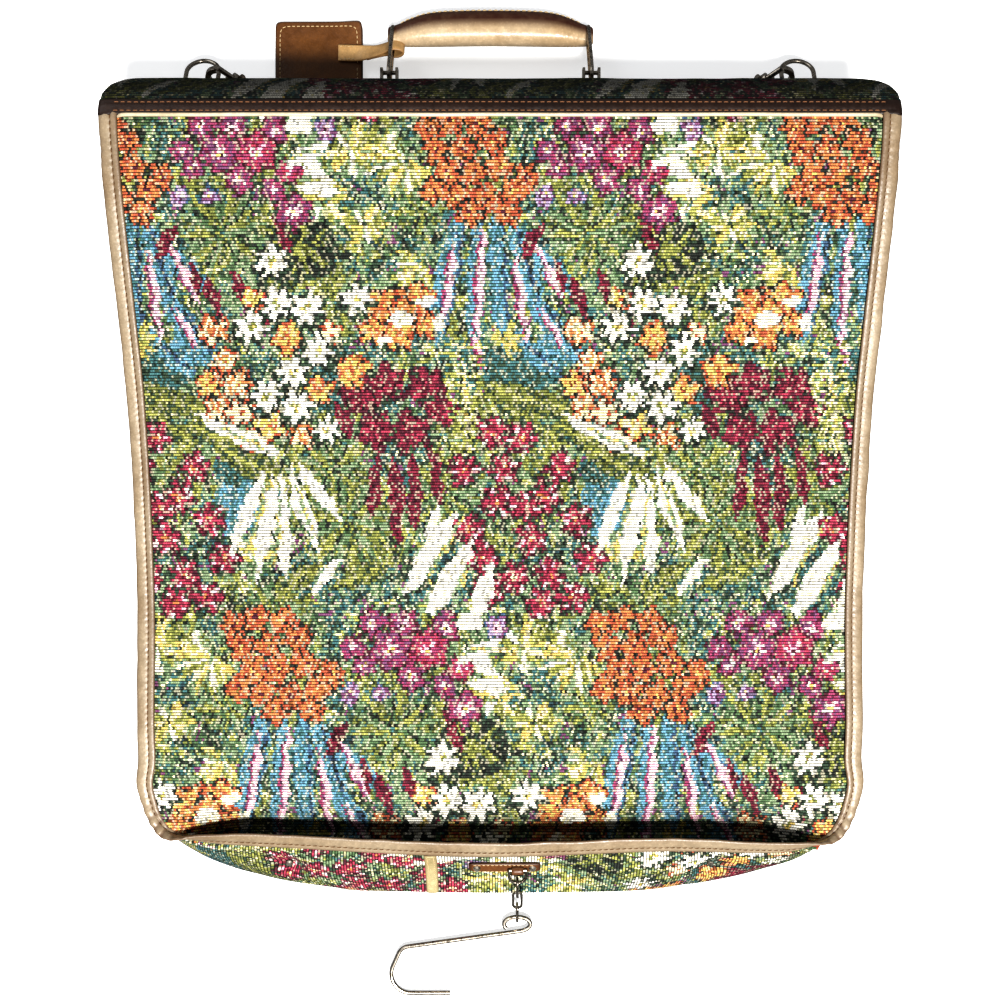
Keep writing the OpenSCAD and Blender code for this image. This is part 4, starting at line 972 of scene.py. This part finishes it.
# painted shade: the far (+y) half of the grip is darkened toward the dark edge colour; the lapped seam and the two ends
# are darkened as well
grip_wear_and_shade = np.clip(seam_w[None] * 0.9 + np.clip((sx[None] - 0.02) / 0.42, 0, 1) * (sz[None] > -0.9) + 0.55 * np.exp(-((np.abs(gp[:, 0:1]) - 75.5) / 1.6) ** 2), 0, 1)
grip = loft("grip", secs, M_GRIP, body="handle", edge=grip_wear_and_shade, stands=("handle_grip",), slot="tan_leather")
lines = []
for da in (0.16, -0.16):
    k = int(round(((0.30 + da) % (2 * np.pi)) / (2 * np.pi) * 40)) % 40
    p = secs[6:-6, k, :] + outw[6:-6, k, :] * 0.1
    lines.append(stitches(p, outw[6:-6, k, :], 4.2, 3.0, 0.38, 3))
sew("grip_stitches", lines, M_THREAD, "handle")

# ---------------------------------------------------------------- luggage tag and its strap


def slab(name, cx, cy, a, b, z0, thick, lift, mat, body, stands, slot, power=18.0):
    q = np.linspace(-1, 1, 44)
    q = np.sign(q) * (1 - (1 - np.abs(q)) ** 1.6)
    U, V = np.meshgrid(q, q, indexing="ij")
    m = np.maximum(np.abs(U), np.abs(V))
    r = (np.abs(U) ** power + np.abs(V) ** power) ** (1 / power)
    k = np.where(r > 1e-9, m / np.maximum(r, 1e-9), 1.0)
    X, Y = cx + a * U * k, cy + b * V * k
    e = thick / 2 / min(a, b)
    h = thick / 2 * np.sqrt(np.clip(1 - np.clip((m - (1 - e)) / e, 0, 1) ** 2, 0, 1))
    Z = z0 + lift(X, Y)
    n = len(q)
    v = np.vstack([np.stack([X, Y, Z + h], -1).reshape(-1, 3), np.stack([X, Y, Z - h], -1).reshape(-1, 3)])
    g = grid(n, n)
    edge = np.clip((m - 0.955) / 0.03, 0, 1).ravel()
    return make(name, v, np.vstack([g, g[:, ::-1] + n * n]), mat, body, edge=np.r_[edge, edge], stands=stands, slot=slot)


def tag_lift(x, y):
    r = np.clip((x + 128) / 24.0, 0, 1)
    return 0.9 * (vnoise(x / 22, y / 22, 151) - 0.5) + 3.2 * r ** 2 * np.clip((y - 338) / 24.0, 0, 1) ** 1.5


slab("tag_body", -137, 330, 33, 32, 1.1, 1.8, lambda x, y: 0 * x, M_TAG, "tag", ("tag_back",), "brown_leather")
slab("tag_front", -137, 330, 33, 32, 3.4, 2.2, lambda x, y: 0.45 + tag_lift(x, y), M_TAG, "tag", ("tag_flap",), "brown_leather")
loop = []
for t in np.linspace(0, 2 * np.pi, 260):
    c, s = math.cos(t), math.sin(t)
    loop.append((-137 + 29.2 * np.sign(c) * abs(c) ** (2 / 11), 330 + 28.2 * np.sign(s) * abs(s) ** (2 / 11)))
loop = resample(np.c_[np.array(loop), np.zeros(260)], step=0.8)
loop[:, 2] = 3.4 + 1.1 + 0.45 + tag_lift(loop[:, 0], loop[:, 1])
sew("tag_stitches", [stitches(loop, np.repeat(np.array([[0, 0, 1.0]]), len(loop), 0), 3.6, 2.6, 0.38)], M_THREAD, "tag")

dip = math.asin((46 - 11.5) / 55.5)
DR = np.array([0, math.cos(dip), -math.sin(dip)])
NR = np.array([0, math.sin(dip), math.cos(dip)])
LEG = np.array([-80, 308.9, 46.0]) + 40 * DR - 5.5 * NR
XA = np.array([1.0, 0, 0])
line = [(-122, 337.6, 6.4), (-114, 337.4, 6.6), (-106, 337.0, 7.4), (-99, 336.6, 10.2), (-92, 336.4, 13.8)]
widths = [(0, 1, 0), (0, 1, 0), (0, 0.99, -0.1), (0, 0.93, -0.35), (0, 0.85, -0.52)]
for a in (150, 120, 90, 60, 30, 0, -30, -60, -90, -120, -150):
    r = math.radians(a)
    line.append(tuple(LEG + XA * (1.8 + 6.2 * math.cos(r)) + NR * 3.3 * math.sin(r)))
    widths.append(tuple(DR))
line += [(-93, 336.2, 11.4), (-100, 336.6, 7.9)]
widths += [(0, 0.85, -0.52), (0, 0.93, -0.35)]
sp = resample(np.c_[curve(line, 10), curve(widths, 10)], step=0.7)
pc, pw = sp[:, :3], unit(sp[:, 3:])
pt = unit(np.gradient(pc, axis=0))
pn = unit(np.cross(pt, pw))
if pn[5, 2] < 0:
    pn = -pn
secs = []
for w, h in ((-6.3, 0), (-6.0, 0.6), (-5.1, 0.85), (-2, 0.9), (0, 0.9), (2, 0.9), (5.1, 0.85), (6.0, 0.6), (6.3, 0), (6.0, -0.6), (5.1, -0.8), (0, -0.85), (-5.1, -0.8), (-6.0, -0.6)):
    secs.append(pc + pw * w + pn * h)
st_edge = np.array([0.9, 0.4, 0.05, 0, 0, 0, 0.05, 0.4, 0.9, 0.4, 0.05, 0, 0.05, 0.4])
loft("tag_strap_leather", np.stack(secs, 1), M_STRAP, body="tag", edge=st_edge[None], stands=("tag_strap",), slot="tan_leather")
n_flat = int(14 / 0.7)
sew("strap_stitches", [stitches(pc[1:n_flat] + pw[1:n_flat] * w + pn[1:n_flat] * 0.95, pn[1:n_flat], 3.0, 2.2, 0.34) for w in (-4.7, 4.7)], M_THREAD, "tag")

# ---------------------------------------------------------------- leather tab that holds the hook's dee
wd = math.atan2(36.7, 43.0)
wl = math.hypot(43.0, 36.7)
UPV = np.array([0, math.cos(wd), math.sin(wd)])
OUTV = np.array([0, -math.sin(wd), math.cos(wd)])
FOOT = np.array([0, -295.0, 4.3])


def on_wall(x, up, h):
    return FOOT + XA * np.asarray(x, float)[..., None] + UPV * np.asarray(up, float)[..., None] + OUTV * np.asarray(h, float)[..., None]


t_up = 0.58 * wl
q = np.linspace(-1, 1, 40)
q = np.sign(q) * (1 - (1 - np.abs(q)) ** 1.6)
U, V = np.meshgrid(q, q, indexing="ij")
mm = np.maximum(np.abs(U), np.abs(V))
rr = (np.abs(U) ** 7 + np.abs(V) ** 7) ** (1 / 7)
kk = np.where(rr > 1e-9, mm / np.maximum(rr, 1e-9), 1.0)
hh = 1.25 * np.sqrt(np.clip(1 - np.clip((mm - 0.8) / 0.2, 0, 1) ** 2, 0, 1))
top_s = on_wall(3.5 + 26.5 * U * kk, t_up + 5.0 * V * kk, 1.55 + hh)
low_s = on_wall(3.5 + 26.5 * U * kk, t_up + 5.0 * V * kk, 1.55 - hh)
g = grid(40, 40)
e = np.clip((mm - 0.88) / 0.08, 0, 1).ravel()
v_all, q_all, e_all = np.vstack([top_s.reshape(-1, 3), low_s.reshape(-1, 3)]), np.vstack([g, g[:, ::-1] + 1600]), np.r_[e, e]
# its loop round the dee's bar
aa = np.linspace(math.radians(-62), math.radians(242), 40)
lw = np.array([-4.5, -4.2, -2, 0, 2, 4.2, 4.5])
lo_r = np.array([0.5, 0.95, 1.05, 1.05, 1.05, 0.95, 0.5])
rings = []
for a in aa:
    out_row = on_wall(13 + lw, t_up + (2.15 + lo_r) * math.cos(a), 4.6 + (2.15 + lo_r) * math.sin(a))
    in_row = on_wall(13 + lw[::-1], t_up + (1.75 + 0 * lw) * math.cos(a), 4.6 + (1.75 + 0 * lw) * math.sin(a))
    rings.append(np.vstack([out_row, in_row]))
rings = np.array(rings)
k0 = len(v_all)
v_all = np.vstack([v_all, rings.reshape(-1, 3)])
q_all = np.vstack([q_all, grid(40, 14, True) + k0])
e_all = np.r_[e_all, np.tile(np.r_[0.8, 0.3, 0, 0, 0, 0.3, 0.8, 0.8, 0, 0, 0, 0, 0, 0.8], 40)]
make("hook_tab_leather", v_all, q_all, M_TAB, edge=e_all, stands=("hook_tab",), slot="tan_leather")
px = np.linspace(-21, 28, 120)
sew("tab_stitches", [stitches(on_wall(px, t_up + s * 3.9, np.full(120, 2.75)), np.repeat(OUTV[None], 120, 0), 3.2, 2.3, 0.3, 1) for s in (-1, 1)], M_THREAD)

# ---------------------------------------------------------------- zip on the left side
zy = np.linspace(-180, 190, 300)
zs = []
for dz, dx in ((-5.5, 0), (-5.3, -0.5), (-4, -0.75), (-2, -0.9), (0, -0.9), (2, -0.9), (4, -0.75), (5.3, -0.5), (5.5, 0), (4, 0.2), (0, 0.2), (-4, 0.2)):
    zs.append(np.c_[-257.25 + dx + 0.18 * (vnoise(zy / 14, 0 * zy + dz, 161) - 0.5), zy, 11.5 + dz + 0 * zy])
loft("zip_cloth", np.stack(zs, 1), M_ZIP, stands=("zip_tape",), slot="zip_tape")
cube_v = np.array([(-1, -1, -1), (1, -1, -1), (1, 1, -1), (-1, 1, -1), (-1, -1, 1), (1, -1, 1), (1, 1, 1), (-1, 1, 1)], float)
cube_q = np.array([(0, 3, 2, 1), (4, 5, 6, 7), (0, 1, 5, 4), (1, 2, 6, 5), (2, 3, 7, 6), (3, 0, 4, 7)])
tv, tq = [], []
for k, y in enumerate(np.arange(-175, 186, 1.5)):
    s = 1 if k % 2 else -1
    tv.append(cube_v * np.array([0.85, 0.48, 1.55]) * np.where(cube_v[:, :1] < 0, np.array([1, 0.8, 0.82]), 1) + np.array([-259.1, y, 11.5 + s * 0.85]))
    tq.append(cube_q + 8 * k)
teeth = make("zip_teeth_row", np.vstack(tv), np.vstack(tq), M_BRASS, stands=("zip_teeth",), slot="brass", tidy=False)
teeth.data.polygons.foreach_set("use_smooth", np.zeros(len(teeth.data.polygons), bool))

# ---------------------------------------------------------------- finishes of the CAD nodes that stay
NICKEL = ["hanger_bar", "handle_staple_left", "handle_staple_right", "dee_plate_left", "dee_plate_right",
          "handle_ring_left", "handle_ring_right", "dee_left", "dee_right", "snap_body_left", "snap_body_right", "snap_bolt_left",
          "snap_bolt_right", "snap_eye_left", "snap_eye_right", "hook_dee", "chain_link_1", "chain_link_2", "chain_link_3", "hanging_hook"]
RIVETS = ["bar_rivets", "tab_rivets", "staple_rivets", "dee_rivets"]
BRASS = ["zip_stops", "zip_slider", "zip_pull"]
BEVEL = {"handle_staple_left": 0.5, "handle_staple_right": 0.5, "dee_plate_left": 0.45, "dee_plate_right": 0.45, "snap_body_left": 0.35,
         "snap_body_right": 0.35, "snap_eye_left": 0.5, "snap_eye_right": 0.5, "snap_bolt_left": 0.3, "snap_bolt_right": 0.3, "zip_slider": 0.4,
         "zip_pull": 0.4, "zip_stops": 0.6}
for names, mat in ((NICKEL, M_NICKEL), (RIVETS, M_RIVET), (BRASS, M_BRASS), (["spine_board"], M_BOARD), (["tag_card"], M_CARD)):
    for n in names:
        o = nodes[n]
        o.data.materials.clear()
        o.data.materials.append(mat)
        if n in BEVEL:
            w = o.modifiers.new("weld", "WELD")
            w.merge_threshold = 2e-6
            b = o.modifiers.new("bevel", "BEVEL")
            b.width = BEVEL[n] * 0.001
            b.segments = 2
            b.limit_method = "ANGLE"
            b.angle_limit = math.radians(38)

# ---------------------------------------------------------------- floor, light
fm = Mat("floor")
n = fm.noise(3.0, 2.0, 0.5, fm.place())
floor_mat = fm.set(Base_Color=fm.mix(fm.span(n, 0.3, 0.7, 0.0, 1.0), (0.86, 0.86, 0.86, 1), (0.88, 0.88, 0.88, 1)), Roughness=0.9,
                   Specular_IOR_Level=0.1, Emission_Color=(1.0, 1.0, 1.0, 1.0), Emission_Strength=0.40)
fme = bpy.data.meshes.new("floor")
cove = curve([(0.02, 0), (2.0, 0), (4.0, 0), (5.0, 0.12), (5.8, 0.7), (6.3, 1.8), (6.5, 3.4), (6.5, 7.0)], 5)
turns = np.linspace(0, 2 * np.pi, 96, endpoint=False)
cv = np.stack([cove[:, 0][:, None] * np.cos(turns), cove[:, 0][:, None] * np.sin(turns), np.repeat(cove[:, 1][:, None], 96, 1) - 0.0004], -1).reshape(-1, 3)
fme.from_pydata(cv.tolist(), [], grid(len(cove), 96, True).tolist() + [list(range(96))])
fme.polygons.foreach_set("use_smooth", np.ones(len(fme.polygons), bool))
fme.materials.append(floor_mat)
floor = bpy.data.objects.new("floor", fme)
scene.collection.objects.link(floor)
floor.visible_diffuse = False
floor.visible_glossy = False
floor.visible_shadow = False

world = bpy.data.worlds.new("world")
scene.world = world
world.use_nodes = True
bg = world.node_tree.nodes["Background"]
bg.inputs[0].default_value = (0.95, 0.97, 1.0, 1.0)
bg.inputs[1].default_value = 0.20


def area(name, loc, target, size, power, colour=(1, 1, 1)):
    d = bpy.data.lights.new(name, "AREA")
    d.shape = "DISK"
    d.size = size
    d.energy = power
    d.color = colour
    o = bpy.data.objects.new(name, d)
    scene.collection.objects.link(o)
    o.location = loc
    o.rotation_euler = (Vector(target) - Vector(loc)).to_track_quat("-Z", "Y").to_euler()


area("key", (0.2, -1.05, 2.35), (0, 0, 0.04), 0.45, 120.0, (1.0, 0.985, 0.96))
area("fill", (-1.6, 1.5, 1.6), (0, 0, 0.04), 1.6, 10.0, (0.95, 0.97, 1.0))

scene.view_settings.view_transform = "Standard"
scene.view_settings.look = "High Contrast"
scene.view_settings.exposure = 0.0
scene.view_settings.gamma = 1.0
